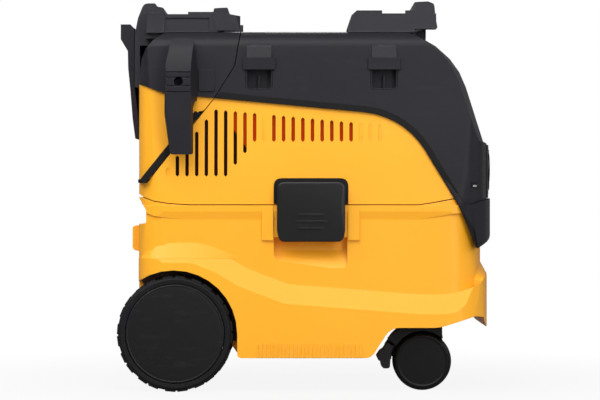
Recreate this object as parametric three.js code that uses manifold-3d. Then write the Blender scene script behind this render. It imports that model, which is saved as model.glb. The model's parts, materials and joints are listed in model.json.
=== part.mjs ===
// A wheeled shop vacuum with a clip-on motor head and two docks for a tool case.
// Millimetres, +Z up, +X towards the front of the machine, -Y its right-hand side.
// The origin is on the floor, under the middle of the machine.
import * as THREE from "three";
import { mergeVertices } from "three/addons/utils/BufferGeometryUtils.js";
import Module from "manifold-3d";

const wasm = await Module();
wasm.setup();

// ---------------------------------------------------------------------------
// Driving dimensions
// ---------------------------------------------------------------------------
const fit = 0.3; // clearance between pieces that rest on or fit in each other
const wall = 3.2; // moulded plastic wall
const length = 505; // rear hook's lip to the chin's face
const skirtWidth = 376; // across the tank's skirt
const underZ = 45; // the skirt's lower edge above the floor
const seamZ = 247; // the tank's rim
const hoodTopZ = 482; // the hood's flat top

const wheelRadius = 77;
const wheelWidth = 38;
const wheelInset = 2; // from the skirt's face to the wheel's face
const axleRadius = 6;
const tyreDepth = 11;
const treadBlocks = 24;
const treadDepth = 1.6;
const wheelSteps = 24; // facets round the tyre's bore, the rim and the cap
const archGap = 8;

const casterRadius = 39;
const casterTreadWidth = 19;
const casterWeb = 10; // the web between a caster's two wheels
const casterTrail = 15.5; // from the stem to the wheels' axle
const stemRadius = 5;

const latchWidth = 90;
const latchHeight = 79;
const latchThickness = 11;

const hookGap = 20; // the cord's room behind a side hook
const hookThickness = 8;
const rearHookWidth = 240;

const dockWidth = 314; // outside the docks' side walls
const dockWallHeight = 24;
const dockWallThickness = 8;
const hornHeight = 37;

const slotCount = 23;
const slotPitch = 12.8;
const slotWidth = 4.7;

const inletRadius = 18; // the suction hose's socket
const glandRadius = 6.4;
const motorRadius = 52;
const fanRadius = 78;
const knobRadius = 18;
const pinRadius = 2;

// ---------------------------------------------------------------------------
// Stations worked out from them
// ---------------------------------------------------------------------------
const frontX = length / 2;
const rearX = -length / 2;
const rearWallX = rearX + 26.5;
const frontWallX = frontX - 13.5;
const bumperX = frontX - 4.5;
const hoodFrontX = frontX - 4.5;
const skirtHalf = skirtWidth / 2;
const tankHalf = skirtHalf - 8;
const rimHalf = tankHalf + 2.5;
const headHalf = tankHalf - 2;
const hoodHalf = headHalf + 4;
const draft = 0.037; // how far the head's sides lean in for each millimetre up
const rimHeight = 19;
const rimRise = 10; // how far the seam climbs at the rear and the front
const headZ = seamZ + 1.2; // the motor head's lower edge
const plateZ = headZ + 6; // the top of the head's base plate
const bow = 19; // how far the front bulges at its middle
const crownRadius = 1500;
const rearCorner = 34;
const frontCorner = 40;

const wheelX = rearWallX + 50;
const wheelY = skirtHalf - wheelInset - wheelWidth / 2; // the middle of a rear wheel
const pocketY = skirtHalf - wheelInset - wheelWidth - 4;
const archX = wheelX - 1.5;
const archRadius = wheelRadius + archGap - 1;

const casterX = frontWallX - 86.5; // the wheels' axle, trailing
const stemX = casterX + casterTrail;
const casterBayX = frontWallX - 155.7; // the skirt's step up to the caster bays
const casterY = skirtHalf - 52;
const casterTopZ = underZ + 41; // the tank's underside over the casters
const casterHalf = casterWeb / 2 + casterTreadWidth + 0.8;

const latchX = 4; // the middle of a latch
const latchTopZ = seamZ + 30.7;
const latchBottomZ = latchTopZ - latchHeight;

const inletZ = seamZ - 24;

// The seam between the hood and the rear filter cover: down the hood, then
// on a slant through the yellow shell to the hinge.
const seamGap = 1.2;
const seamTopX = rearWallX + 136.6;
const seamKinkX = rearWallX + 102.4;
const seamKinkZ = hoodTopZ - 92.8;
const hingeX = rearWallX + 4.5;
const hingeZ = seamZ + 36;
const knuckleRadius = 4.2;
const hingeLandZ = hingeZ - 5.6; // the head's rear wall ends here
const hingeLandX = rearWallX + 13.2; // and the slanted seam starts
const seamSlope = (seamKinkZ - hingeLandZ) / (seamKinkX - hingeLandX);

// The hood's lower edge: nearly level, then down to the chin.
const lipRearZ = seamKinkZ;
const lipBreakX = frontWallX - 111.6;
const lipBreakZ = hoodTopZ - 116.5;
const lipBreakRadius = 105;
const lipFrontX = frontWallX - 40;

const hookX = rearWallX + 57.5;
const hookTopZ = hoodTopZ - 14;
const hookBottomZ = hookTopZ - 154;
const hookScrewX = hookX - 2;
const hookScrewZ = hookTopZ - 58;

const slotRearX = rearWallX + 40;
const slotLowZ = seamZ + 38;
const slotHighZ = seamZ + 84;
const lipRiseZ = hoodTopZ - 73; // the yellow reaches higher behind the side hooks

const glandY = 90;
const glandZ = seamZ + 20.6;

const panelBottomZ = seamZ + 15;
const panelTopZ = seamZ + 84;

// ---------------------------------------------------------------------------
// Helpers: outlines, solids from outlines, cuts and joins
// ---------------------------------------------------------------------------

// A closed outline from corners [x, y, radius]; corners with no radius stay sharp.
// A corner's fourth value is its own number of steps.
function rounded(corners, steps = 4) {
  const points = [];
  const count = corners.length;
  corners.forEach(([x, y, radius = 0, own = steps], i) => {
    const here = new THREE.Vector2(x, y);
    if (radius === 0) {
      points.push(here);
      return;
    }
    const [bx, by] = corners[(i + count - 1) % count];
    const [ax, ay] = corners[(i + 1) % count];
    const back = new THREE.Vector2(bx, by).sub(here).normalize();
    const ahead = new THREE.Vector2(ax, ay).sub(here).normalize();
    const half = Math.acos(THREE.MathUtils.clamp(back.dot(ahead), -1, 1)) / 2;
    const reach = radius / Math.tan(half);
    const start = here.clone().addScaledVector(back, reach);
    const end = here.clone().addScaledVector(ahead, reach);
    const middle = back.add(ahead).normalize();
    const centre = here.clone().addScaledVector(middle, radius / Math.sin(half));
    const from = Math.atan2(start.y - centre.y, start.x - centre.x);
    let sweep = Math.atan2(end.y - centre.y, end.x - centre.x) - from;
    if (sweep > Math.PI) sweep -= 2 * Math.PI;
    if (sweep < -Math.PI) sweep += 2 * Math.PI;
    for (let k = 0; k <= own; k += 1) {
      const angle = from + (sweep * k) / own;
      points.push(
        new THREE.Vector2(
          centre.x + radius * Math.cos(angle),
          centre.y + radius * Math.sin(angle),
        ),
      );
    }
  });
  return points;
}

const rectangle = (x0, y0, x1, y1, radius = 0, steps = 3) =>
  rounded([[x0, y0, radius], [x1, y0, radius], [x1, y1, radius], [x0, y1, radius]], steps);

function circle(x, y, radius, steps = 20) {
  return new THREE.EllipseCurve(x, y, radius, radius).getPoints(steps).slice(0, steps);
}

// A closed mesh as a solid; an outline may run either way round.
function solid(geometry) {
  const loose = geometry.index ? geometry.toNonIndexed() : geometry;
  const bare = new THREE.BufferGeometry();
  bare.setAttribute("position", loose.getAttribute("position"));
  const merged = mergeVertices(bare, 1e-4);
  const triVerts = new Uint32Array(merged.index.array);
  const vertProperties = merged.attributes.position.array;
  const made = new wasm.Manifold(new wasm.Mesh({ numProp: 3, vertProperties, triVerts }));
  if (made.volume() > 0) return made;
  return new wasm.Manifold(
    new wasm.Mesh({ numProp: 3, vertProperties, triVerts: triVerts.reverse() }),
  );
}

function geometryOf(body) {
  const mesh = body.getMesh();
  const geometry = new THREE.BufferGeometry();
  const positions = new THREE.BufferAttribute(new Float32Array(mesh.vertProperties), 3);
  geometry.setAttribute("position", positions);
  geometry.setIndex(Array.from(mesh.triVerts));
  geometry.computeVertexNormals();
  return geometry;
}

const axisX = new THREE.Vector3(1, 0, 0);
const axisY = new THREE.Vector3(0, 1, 0);
const axisZ = new THREE.Vector3(0, 0, 1);

function prism(outline, low, high, basis) {
  const flat = new THREE.ExtrudeGeometry(new THREE.Shape(outline), {
    depth: high - low,
    bevelEnabled: false,
  });
  flat.translate(0, 0, low);
  flat.applyMatrix4(new THREE.Matrix4().makeBasis(...basis));
  return solid(flat);
}

// A side-view outline (x, z) through y0..y1, a front-view outline (y, z)
// through x0..x1, and a plan outline (x, y) through z0..z1.
const acrossY = (outline, y0, y1) =>
  prism(outline, -y1, -y0, [axisX, axisZ, axisY.clone().negate()]);
const alongX = (outline, x0, x1) => prism(outline, x0, x1, [axisY, axisZ, axisX]);
const upZ = (outline, z0, z1) => prism(outline, z0, z1, [axisX, axisY, axisZ]);

const box = (x0, x1, y0, y1, z0, z1) => upZ(rectangle(x0, y0, x1, y1), z0, z1);

// A revolved solid about an axis through (a, b); profile points are [radius, distance].
function revolve(profile, steps = 24) {
  const points = profile.map(([r, h]) => new THREE.Vector2(r, h));
  return new THREE.LatheGeometry(points, steps);
}

const aboutY = (profile, x, z, steps) => solid(revolve(profile, steps).translate(x, 0, z));
const aboutZ = (profile, x, y, steps) =>
  solid(revolve(profile, steps).rotateX(Math.PI / 2).translate(x, y, 0));
const aboutX = (profile, y, z, steps) =>
  solid(revolve(profile, steps).rotateZ(-Math.PI / 2).translate(0, y, z));

const rodProfile = (radius, from, to) => [[0, from], [radius, from], [radius, to], [0, to]];
const rodY = (radius, x, z, y0, y1, steps = 16) => aboutY(rodProfile(radius, y0, y1), x, z, steps);
const rodZ = (radius, x, y, z0, z1, steps = 16) => aboutZ(rodProfile(radius, z0, z1), x, y, steps);
const rodX = (radius, y, z, x0, x1, steps = 16) => aboutX(rodProfile(radius, x0, x1), y, z, steps);

const join = (...parts) => parts.reduce((sum, part) => sum.add(part));
const cut = (body, ...tools) => tools.reduce((rest, tool) => rest.subtract(tool), body);

// The same solid on the other side of the machine.
function mirrored(body) {
  const geometry = geometryOf(body);
  geometry.scale(1, -1, 1);
  return solid(geometry);
}

// ---------------------------------------------------------------------------
// Finishes
// ---------------------------------------------------------------------------
const finish = {
  yellow: { color: 0xffbe3c, roughness: 0.45, metalness: 0 },
  black: { color: 0x3c3d40, roughness: 0.5, metalness: 0 },
  darkBlack: { color: 0x232426, roughness: 0.45, metalness: 0 },
  rubber: { color: 0x34363a, roughness: 0.8, metalness: 0 },
  steel: { color: 0xb8bcc0, roughness: 0.3, metalness: 1 },
  paper: { color: 0xd8d2c4, roughness: 0.9, metalness: 0 },
  board: { color: 0x1f5a35, roughness: 0.6, metalness: 0 },
};

const machine = new THREE.Group();

function piece(name, body, look, parent = machine) {
  const mesh = new THREE.Mesh(geometryOf(body), new THREE.MeshStandardMaterial(finish[look]));
  mesh.name = name;
  parent.add(mesh);
  return mesh;
}

// ---------------------------------------------------------------------------
// Forms that several shells share
// ---------------------------------------------------------------------------

// Plan of the body: rounded rear corners and a bowed front.
function bodyPlan(half, rear, front, grow = 0, steps = 4) {
  const reach = half + grow;
  const bulge = [-0.66, -0.33, 0, 0.33, 0.66].map((share) => [
    front + grow - bow * share * share,
    reach * share,
  ]);
  return rounded(
    [
      [rear - grow, reach, rearCorner + grow],
      [rear - grow, -reach, rearCorner + grow],
      [front - bow + grow, -reach, frontCorner + grow],
      ...bulge,
      [front - bow + grow, reach, frontCorner + grow],
    ],
    steps,
  );
}

const headHalfAt = (z) => headHalf - draft * (z - seamZ);

// The motor head: leaning sides, the tank's plan.
function headForm(grow, steps) {
  const topZ = hoodTopZ - 20;
  const lowZ = seamZ - 90;
  const sides = alongX(
    [
      [-headHalfAt(lowZ) - grow, lowZ],
      [headHalfAt(lowZ) + grow, lowZ],
      [headHalfAt(topZ) + grow, topZ],
      [-headHalfAt(topZ) - grow, topZ],
    ].map(([y, z]) => new THREE.Vector2(y, z)),
    rearX - 20,
    frontX + 20,
  );
    const plan = bodyPlan(headHalf, rearWallX, frontWallX - 3, grow, steps);
  return sides.intersect(upZ(plan, lowZ, topZ));
}

const shoulder = 22;
const crown = 4;

// The hood's front view: leaning sides, rounded shoulders, a slight crown.
function hoodSection(grow, front, steps = 4) {
  const half = (z) => headHalfAt(z) + 4 + grow;
  const lowZ = seamZ - 90;
  return alongX(
    rounded(
      [
        [-half(lowZ), lowZ],
        [half(lowZ), lowZ],
        [half(hoodTopZ), hoodTopZ - crown + grow, shoulder + grow],
        [0, hoodTopZ + grow, crownRadius, 2],
        [-half(hoodTopZ), hoodTopZ - crown + grow, shoulder + grow],
      ],
      steps,
    ),
    rearX - 20,
    front + 20,
  );
}

const noseRadius = 106;
const noseX = frontWallX - 42.4;
const bowRadius = (hoodHalf * hoodHalf) / (2 * bow);
const bowSteps = 120; // facets round a full turn of the nose

// The hood's side view, with its front left open for the nose to shape.
function hoodSide(grow, steps = 6) {
  return rounded(
    [
      [rearWallX - grow, seamZ - 90],
      [frontX + 20, seamZ - 90],
      [frontX + 20, hoodTopZ + grow],
      [rearWallX + 7 - grow, hoodTopZ + grow, 58 + grow],
      [rearWallX - grow, hoodTopZ - 77],
    ],
    steps,
  );
}

// The nose's profile turned about an upright axis, so that it is bowed in plan.
function noseForm(grow, steps = 6) {
  const axis = hoodFrontX - bowRadius;
  const profile = rounded(
    [
      [axis, seamZ - 95],
      [hoodFrontX + grow + 11, seamZ - 95],
      [hoodFrontX + grow + 11, panelTopZ - 6],
      [hoodFrontX + grow - 4.5, panelTopZ + 2.6],
      [noseX + grow, hoodTopZ + grow, noseRadius + grow],
      [axis, hoodTopZ + grow],
    ],
    steps,
  ).map(({ x, y }) => [x - axis, y]);
  return aboutZ(profile, axis, 0, bowSteps);
}

const hoodForm = (grow, steps) =>
  hoodSection(grow, frontX, steps)
    .intersect(acrossY(hoodSide(grow, steps), -skirtHalf - 20, skirtHalf + 20))
    .intersect(noseForm(grow, steps))
    .intersect(
      upZ(bodyPlan(hoodHalf, rearWallX, hoodFrontX, grow, steps), seamZ - 95, hoodTopZ + 20),
    );

const seamLineZ = (x) => seamKinkZ + seamSlope * (x - seamKinkX);
const lipSlope = (lipBreakZ - lipRearZ) / (lipBreakX - seamKinkX);
const lipLineZ = (x) => lipRearZ + lipSlope * (x - seamKinkX);

// Side view of everything behind the slanted seam, moved back by the given gap.
function behindSeam(gap) {
  const lowX = rearWallX - 40;
  return acrossY(
    [
      [seamTopX + 3 - gap, hoodTopZ + 30],
      [seamTopX - gap, hoodTopZ - 8],
      [seamTopX - 7.4 - gap, hoodTopZ - 50],
      [seamKinkX - gap, seamKinkZ],
      [hingeLandX - gap, hingeLandZ + gap],
      [lowX, hingeLandZ + gap],
      [lowX, hoodTopZ + 30],
    ].map(([x, z]) => new THREE.Vector2(x, z)),
    -skirtHalf - 30,
    skirtHalf + 30,
  );
}

// Side view of everything above the hood's lower edge, moved up by the given rise.
function aboveLip(rise, half, lip = 0) {
  const slope = (lipBreakZ - seamZ) / (lipFrontX - lipBreakX);
  const footX = lipFrontX + (90 + rise) / slope;
  const outline = rounded(
    [
      [rearWallX - 60, lipRiseZ + 15 + rise],
      [rearWallX, lipRiseZ + rise],
      [rearWallX + 36, lipLineZ(rearWallX + 36) + rise],
      [lipBreakX, lipBreakZ + rise, lipBreakRadius],
      [footX, seamZ - 90],
      [frontX + 60, seamZ - 90],
      [frontX + 60, hoodTopZ + 60],
      [rearWallX - 60, hoodTopZ + 60],
    ],
    7,
  );
  if (lip === 0) return acrossY(outline, -half, half);
  const chamfered = new THREE.ExtrudeGeometry(new THREE.Shape(outline), {
    depth: 2 * (half - lip / 2),
    bevelEnabled: true,
    bevelSegments: 1,
    bevelThickness: lip / 2,
    bevelSize: lip,
    bevelOffset: -lip,
  });
  chamfered.translate(0, 0, lip / 2 - half);
  chamfered.applyMatrix4(
    new THREE.Matrix4().makeBasis(axisX, axisZ, axisY.clone().negate()),
  );
  return solid(chamfered);
}

const underLip = 12; // how far the yellow shells reach up behind the hood

// The room inside the hood: the yellow shells' form low down, its own wall above.
function hoodRoom() {
  const low = headForm(fit)
    .subtract(aboveLip(underLip + fit, skirtHalf + 20))
    .intersect(hoodForm(-2.2));
  const high = hoodForm(-wall - 1);
  return join(low, high);
}

// Side view of everything under the seam between tank and head: the tank's
// rim rises in a curve at the rear corners and behind the chin.
function underSeam(rise) {
  const level = seamZ + rise;
  const outline = [
    [rearX - 60, underZ - 60],
    [frontX + 60, underZ - 60],
    [frontX + 60, level + rimRise],
    [frontWallX - 20, level + rimRise],
    [frontWallX - 49, level + rimRise * 0.74],
    [frontWallX - 70, level + rimRise * 0.34],
    [frontWallX - 92, level],
    [rearWallX + 70, level],
    [rearWallX + 42, level + rimRise * 0.16],
    [rearWallX + 21, level + rimRise * 0.5],
    [rearWallX + 7, level + rimRise],
    [rearWallX - 1, level + rimRise * 1.5],
    [rearX - 60, level + rimRise * 1.5],
  ].map(([x, z]) => new THREE.Vector2(x, z));
  return acrossY(outline, -skirtHalf - 20, skirtHalf + 20);
}

// ---------------------------------------------------------------------------
// Tank
// ---------------------------------------------------------------------------

// Where the skirt starts to flare: high behind, low along the side, up at the bumper.
function skirtRegion() {
  const curve = new THREE.SplineCurve(
    [
      [rearWallX + 40, seamZ - 76],
      [rearWallX + 73, seamZ - 76.5],
      [rearWallX + 104, seamZ - 89],
      [rearWallX + 133, seamZ - 106.5],
      [rearWallX + 194, seamZ - 130],
      [latchX + 40, seamZ - 136.6],
      [frontWallX - 91, seamZ - 144],
      [frontWallX - 60, seamZ - 144],
      [frontWallX - 36, seamZ - 141],
      [frontWallX - 12, seamZ - 133.4],
      [frontWallX + 5, seamZ - 125],
      [frontWallX + 25, seamZ - 108],
    ].map(([x, z]) => new THREE.Vector2(x, z)),
  );
  const edge = curve.getPoints(11).reverse();
  return [
    new THREE.Vector2(rearWallX - 80, seamZ - 76),
    new THREE.Vector2(rearWallX - 80, underZ - 60),
    new THREE.Vector2(frontX + 60, underZ - 60),
    new THREE.Vector2(frontX + 60, seamZ - 60),
    ...edge,
  ];
}

const flareHeight = 26;
const flareDepth = skirtHalf - tankHalf;

function flaredSkirt() {
  const flare = new THREE.ExtrudeGeometry(new THREE.Shape(skirtRegion()), {
    depth: 2 * tankHalf,
    bevelEnabled: true,
    bevelSegments: 1,
    bevelThickness: flareDepth,
    bevelSize: flareHeight,
  });
  flare.translate(0, 0, -tankHalf);
  flare.applyMatrix4(new THREE.Matrix4().makeBasis(axisX, axisZ, axisY.clone().negate()));
  return solid(flare);
}

const rearUnderZ = underZ + 14;

// Side view of the tank's outside.
function tankSide() {
  return rounded(
    [
      [rearWallX, seamZ],
      [rearWallX, rearUnderZ, 16],
      [archX + archRadius - 8, rearUnderZ],
      [archX + archRadius + 2, underZ, 9],
      [casterBayX, underZ, 14],
      [casterBayX + 26, casterTopZ - 1, 22],
      [stemX + 6, casterTopZ - 1, 60],
      [bumperX - 26, casterTopZ + 14],
      [bumperX - 13.5, casterTopZ + 12],
      [bumperX - 10.5, casterTopZ + 3, 6],
      [bumperX - 5, casterTopZ - 5, 3],
      [bumperX, casterTopZ - 4, 3],
      [bumperX, seamZ - 101, 14],
      [frontWallX, seamZ - 83, 10],
      [frontWallX, seamZ],
    ],
    5,
  );
}

// Room for a rear wheel, open below and behind.
function wheelPocket(grow, steps = 32) {
  const reach = skirtHalf + 20;
  const round = rodY(archRadius + grow, archX, wheelRadius, pocketY - grow, reach, steps);
  const below = box(
    rearWallX - 40,
    archX + archRadius + grow,
    pocketY - grow,
    reach,
    underZ - 50,
    wheelRadius,
  );
  const behind = box(
    rearWallX - 40,
    archX - archRadius * 0.45,
    pocketY - grow,
    reach,
    underZ - 50,
    wheelRadius + archRadius * 0.8 + grow,
  );
  return join(round, below, behind);
}

const recessDepth = 16;
const recessDrop = 38; // at the front end of its slanting floor
const recessSlant = 14;

// The finger recess under a latch, deepest at its top.
function fingerRecess(grow) {
  const face = rimHalf + 10;
  const deep = tankHalf - recessDepth - grow;
  const section = [
    [face, latchBottomZ + 6 + grow],
    [deep, latchBottomZ + 6 + grow],
    [deep + 2, latchBottomZ - 12 - grow],
    [tankHalf + 2, latchBottomZ - recessDrop - grow],
    [face, latchBottomZ - recessDrop - grow],
  ].map(([y, z]) => new THREE.Vector2(y, z));
  const x0 = latchX - latchWidth / 2 - 4 - grow;
  const x1 = latchX + latchWidth / 2 + 3 + grow;
  const outline = rounded([
    [x0, latchBottomZ + 20],
    [x0, latchBottomZ - recessDrop + recessSlant - grow, 9 + grow],
    [x1, latchBottomZ - recessDrop - grow, 9 + grow],
    [x1, latchBottomZ + 20],
  ]);
  return alongX(section, latchX - latchWidth, latchX + latchWidth).intersect(
    acrossY(outline, deep - 5, face),
  );
}

const ribPitch = 5.1;
const ribCount = 28;
const ribStartX = archX + archRadius + 27;

function gripRib(index, side) {
  const x = ribStartX + index * ribPitch;
  const outline = rectangle(x - 1, underZ + 0.8, x + 1, underZ + 19);
  const inner = skirtHalf - 1;
  const outer = skirtHalf + 0.8;
  return side > 0 ? acrossY(outline, inner, outer) : acrossY(outline, -outer, -inner);
}

const rearFloorZ = wheelRadius + axleRadius + 13;
const innerSteps = 2; // facets in the corners of hidden inner faces
const lipInset = 12; // the rim's inner lip, which carries the seal
const recessInset = 11; // the hand hold across the rear, from the rear wall

function tankCavity() {
  const inner = tankHalf - wall;
  const plan = bodyPlan(tankHalf, rearWallX, frontWallX, -wall, innerSteps);
  const mouth = bodyPlan(tankHalf, rearWallX, frontWallX, -lipInset, innerSteps);
  const side = rounded(
    [
      [rearWallX - 5, seamZ - 7],
      [rearWallX - 5, rearFloorZ, 10],
      [archX + archRadius + wall + 3, rearFloorZ, 10],
      [archX + archRadius + wall + 9, underZ + wall, 10],
      [casterBayX - 2, underZ + wall, 14],
      [casterBayX + 22, casterTopZ + 20, 20],
      [frontX + 5, casterTopZ + 20],
      [frontX + 5, seamZ - 7],
    ],
    4,
  );
  const hold = (sign) => {
    const pocket = wheelPocket(wall + 1, 20);
    const finger = fingerRecess(wall);
    return sign > 0 ? join(pocket, finger) : mirrored(join(pocket, finger));
  };
  const room = upZ(plan, underZ, seamZ - 7).intersect(acrossY(side, -inner, inner));
  const cavity = join(cut(room, hold(1), hold(-1)), upZ(mouth, seamZ - 8, seamZ + 20));
  return cut(cavity, box(rearX, rearWallX + recessInset + wall, -200, 200, seamZ - 28, seamZ + 30));
}

// Open bays under the tank's rear, with ribs that carry the axle.
function axleBay(y0, y1) {
  const outline = rounded(
    [
      [rearWallX + wall, rearUnderZ - 30],
      [archX + archRadius - 6, rearUnderZ - 30],
      [archX + archRadius - 6, rearFloorZ - wall, 8],
      [rearWallX + wall, rearFloorZ - wall, 8],
    ],
    3,
  );
  return acrossY(outline, y0, y1);
}

const chinTopZ = seamZ + rimRise - 0.4;

// Front view of the rim: full width above, drawn in to the wall below.
function rimSection() {
  const outline = [-1, 1].flatMap((side) =>
    [
      [rimHalf + 2, seamZ + 20],
      [rimHalf + 2, seamZ - 4],
      [rimHalf, seamZ - 8],
      [tankHalf, seamZ - rimHeight],
    ]
      .map(([y, z]) => new THREE.Vector2(side * y, z))
      .sort((a, b) => side * (a.y - b.y)),
  );
  return alongX(outline, rearX - 20, frontX + 20);
}

// The hand hold across the tank's rear, under the rim.
function rearRecess(deep) {
  const x = rearWallX + recessInset + deep;
  return acrossY(
    rounded([
      [rearX - 20, seamZ - 25 - deep],
      [x, seamZ - 25 - deep, 3],
      [x, seamZ - 6 + deep, 8],
      [rearWallX - 1 + deep, seamZ + rimRise * 1.2 + deep],
      [rearX - 20, seamZ + rimRise * 1.2 + deep],
    ]),
    -skirtHalf - 10,
    skirtHalf + 10,
  );
}

function tankShell() {
  const side = tankSide();
  const reach = skirtHalf + 30;
  const upper = upZ(bodyPlan(tankHalf, rearWallX, frontWallX), 0, seamZ);
  const lower = upZ(bodyPlan(skirtHalf, rearWallX, bumperX), 0, seamZ - 70);
  const rim = cut(
    upZ(bodyPlan(rimHalf, rearWallX, frontWallX + 2.5), seamZ - rimHeight, seamZ),
    underSeam(-rimHeight),
  ).intersect(rimSection());
  const silhouette = acrossY(side, -reach, reach);
  let body = join(
    upper.intersect(silhouette),
    lower.intersect(silhouette).intersect(flaredSkirt()),
    rim,
  );
  // A grip ledge across the rear, just under the rim.
  const ledge = rounded(
    [
      [rearWallX + 4, seamZ - 26],
      [rearWallX - 9.5, seamZ - 28, 4],
      [rearWallX - 9.5, seamZ - 59.5, 5],
      [rearWallX + 4, seamZ - 63],
    ],
    3,
  );
  const risingRim = cut(
    upZ(bodyPlan(headHalf, rearWallX, frontWallX - 3), seamZ - 6, seamZ + rimRise + 1),
    headForm(-wall, innerSteps),
  );
  body = body.add(risingRim.intersect(underSeam(0)));
  const pads = [-1, 1].flatMap((side) => [
    latchGuide(latchX - latchWidth / 2 - 20, side),
    latchGuide(latchX + latchWidth / 2 + 4, side),
  ]);
  body = join(body, ...pads);
  const bosses = join(
    ...[-1, 1].map((side) =>
      rodZ(stemRadius + 9, stemX, side * casterY, casterTopZ, casterTopZ + 27, 16),
    ),
  );
  body = cut(body.add(bosses), cut(tankCavity(), bosses));
  const third = (pocketY - wall) / 3;
  body = cut(
    body,
    wheelPocket(0),
    mirrored(wheelPocket(0)),
    fingerRecess(0),
    mirrored(fingerRecess(0)),
    axleBay(-third + 3, third - 3),
    axleBay(third + 3, pocketY - wall - 4),
    mirrored(axleBay(third + 3, pocketY - wall - 4)),
    rearRecess(0),
    rodY(axleRadius + fit, wheelX, wheelRadius, -reach, reach, 20),
    rodX(inletRadius + 2, 0, inletZ, frontWallX - 40, frontX + 10, 24),
  );
  for (const side of [-1, 1]) {
    const bore = rodZ(stemRadius + fit, stemX, side * casterY, casterTopZ - 20, casterTopZ + 22, 20);
    body = body.subtract(bore);
    for (let i = 0; i < ribCount; i += 1) body = body.add(gripRib(i, side));
  }
  return body.add(acrossY(ledge, -tankHalf + 46, tankHalf - 46));
}

// Upright pads on the rim at both sides of a latch.
function latchGuide(x, side) {
  const outline = rectangle(x, latchBottomZ + 2, x + 15, seamZ);
  const inner = tankHalf - 1;
  const outer = rimHalf + 0.6;
  return side > 0 ? acrossY(outline, inner, outer) : acrossY(outline, -outer, -inner);
}

// The black trim round the hose inlet.
function chinCover() {
  const chinFrontX = frontX;
  const tipX = lipFrontX + 30;
  const outline = rounded([
    [lipFrontX, seamZ],
    [tipX - 5, seamZ - 58, 2.5],
    [tipX + 4, seamZ - 52.5],
    [chinFrontX, seamZ - 40.5, 4],
    [chinFrontX, chinTopZ],
    [chinFrontX - 20, chinTopZ - 3.6],
    [chinFrontX - 38, seamZ],
  ]);
  const form = upZ(bodyPlan(rimHalf + 3, rearWallX, chinFrontX), seamZ - 80, seamZ + 20);
  const rimRoom = upZ(
    bodyPlan(rimHalf, rearWallX, frontWallX + 2.5, fit),
    seamZ - 90,
    seamZ + 30,
  );
  const band = acrossY(outline, -skirtHalf - 10, skirtHalf + 10).intersect(form);
  return cut(band, rimRoom, rodX(inletRadius + 6 + fit, 0, inletZ, frontWallX, frontX + 10, 24));
}

// The hose socket: a collar in the chin and a spigot through the tank's wall.
function inletSocket() {
  const inside = frontWallX - 16;
  const outside = frontX - 0.5;
  const profile = [
    [inletRadius, inside],
    [inletRadius + 1.7, inside],
    [inletRadius + 1.7, frontWallX + 3],
    [inletRadius + 6, frontWallX + 3],
    [inletRadius + 6, outside - 1.5],
    [inletRadius + 4.5, outside],
    [inletRadius + 1.5, outside],
    [inletRadius, outside - 1.5],
    [inletRadius, inside],
  ];
  return aboutX(profile, 0, inletZ, 24);
}

// ---------------------------------------------------------------------------
// Rear wheels
// ---------------------------------------------------------------------------

const tyreInner = wheelRadius - tyreDepth;

// A tyre's outline seen from the side: tread blocks round its edge.
function treadOutline() {
  const points = [];
  const step = (2 * Math.PI) / treadBlocks;
  for (let i = 0; i < treadBlocks; i += 1) {
    const angle = i * step;
    for (const [share, radius] of [
      [0, wheelRadius - treadDepth],
      [0.14, wheelRadius - treadDepth],
      [0.2, wheelRadius],
      [0.94, wheelRadius],
    ]) {
      const a = angle + share * step;
      points.push(new THREE.Vector2(radius * Math.cos(a), radius * Math.sin(a)));
    }
  }
  return points;
}

function tyre() {
  const half = wheelWidth / 2;
  return cut(
    acrossY(treadOutline(), -half, half),
    rodY(tyreInner, 0, 0, -half - 1, half + 1, wheelSteps),
  );
}

const hubRadius = 15;
const hubLength = wheelWidth - 8;

function rim() {
  const half = wheelWidth / 2;
  const outer = tyreInner - fit;
  const barrel = outer - 4;
  const bore = axleRadius + fit;
  const web = 4 - half;
  const profile = [
    [bore, 1 - half],
    [outer, 1 - half],
    [outer, half - 3.5],
    [barrel, half - 3.5],
    [barrel, web],
    [hubRadius, web],
    [hubRadius, hubLength - half],
    [bore, hubLength - half],
    [bore, 1 - half],
  ];
  let body = aboutY(profile, 0, 0, wheelSteps);
  for (let i = 0; i < 5; i += 1) {
    const spoke = geometryOf(box(hubRadius - 1, barrel + 1, web - 1, half - 10, -1.6, 1.6));
    spoke.rotateY((i * 2 * Math.PI) / 5);
    body = body.add(solid(spoke));
  }
  return body;
}

// The smooth disc that closes a wheel's outer side.
function wheelCap() {
  const half = wheelWidth / 2;
  const radius = tyreInner - fit;
  const skirt = radius - 4 - fit;
  const profile = [
    [0, half - 3.1],
    [skirt - 2.5, half - 3.1],
    [skirt - 2.5, half - 8],
    [skirt, half - 8],
    [skirt, half - 3.1],
    [radius, half - 3.1],
    [radius, half - 0.8],
    [radius - 1.2, half],
    [radius - 14, half + 0.9],
    [0, half + 1.4],
  ];
  return aboutY(profile, 0, 0, wheelSteps);
}

// ---------------------------------------------------------------------------
// Casters
// ---------------------------------------------------------------------------

// Everything on a caster is drawn about its stem, at floor level: the wheels'
// axle lies casterTrail behind the stem.
const fenderRadius = casterRadius + 14.2;
const wellRadius = casterRadius + 2;
const pedalPivotX = -casterTrail - 44.5;
const pedalPivotZ = casterRadius + 14;

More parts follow.
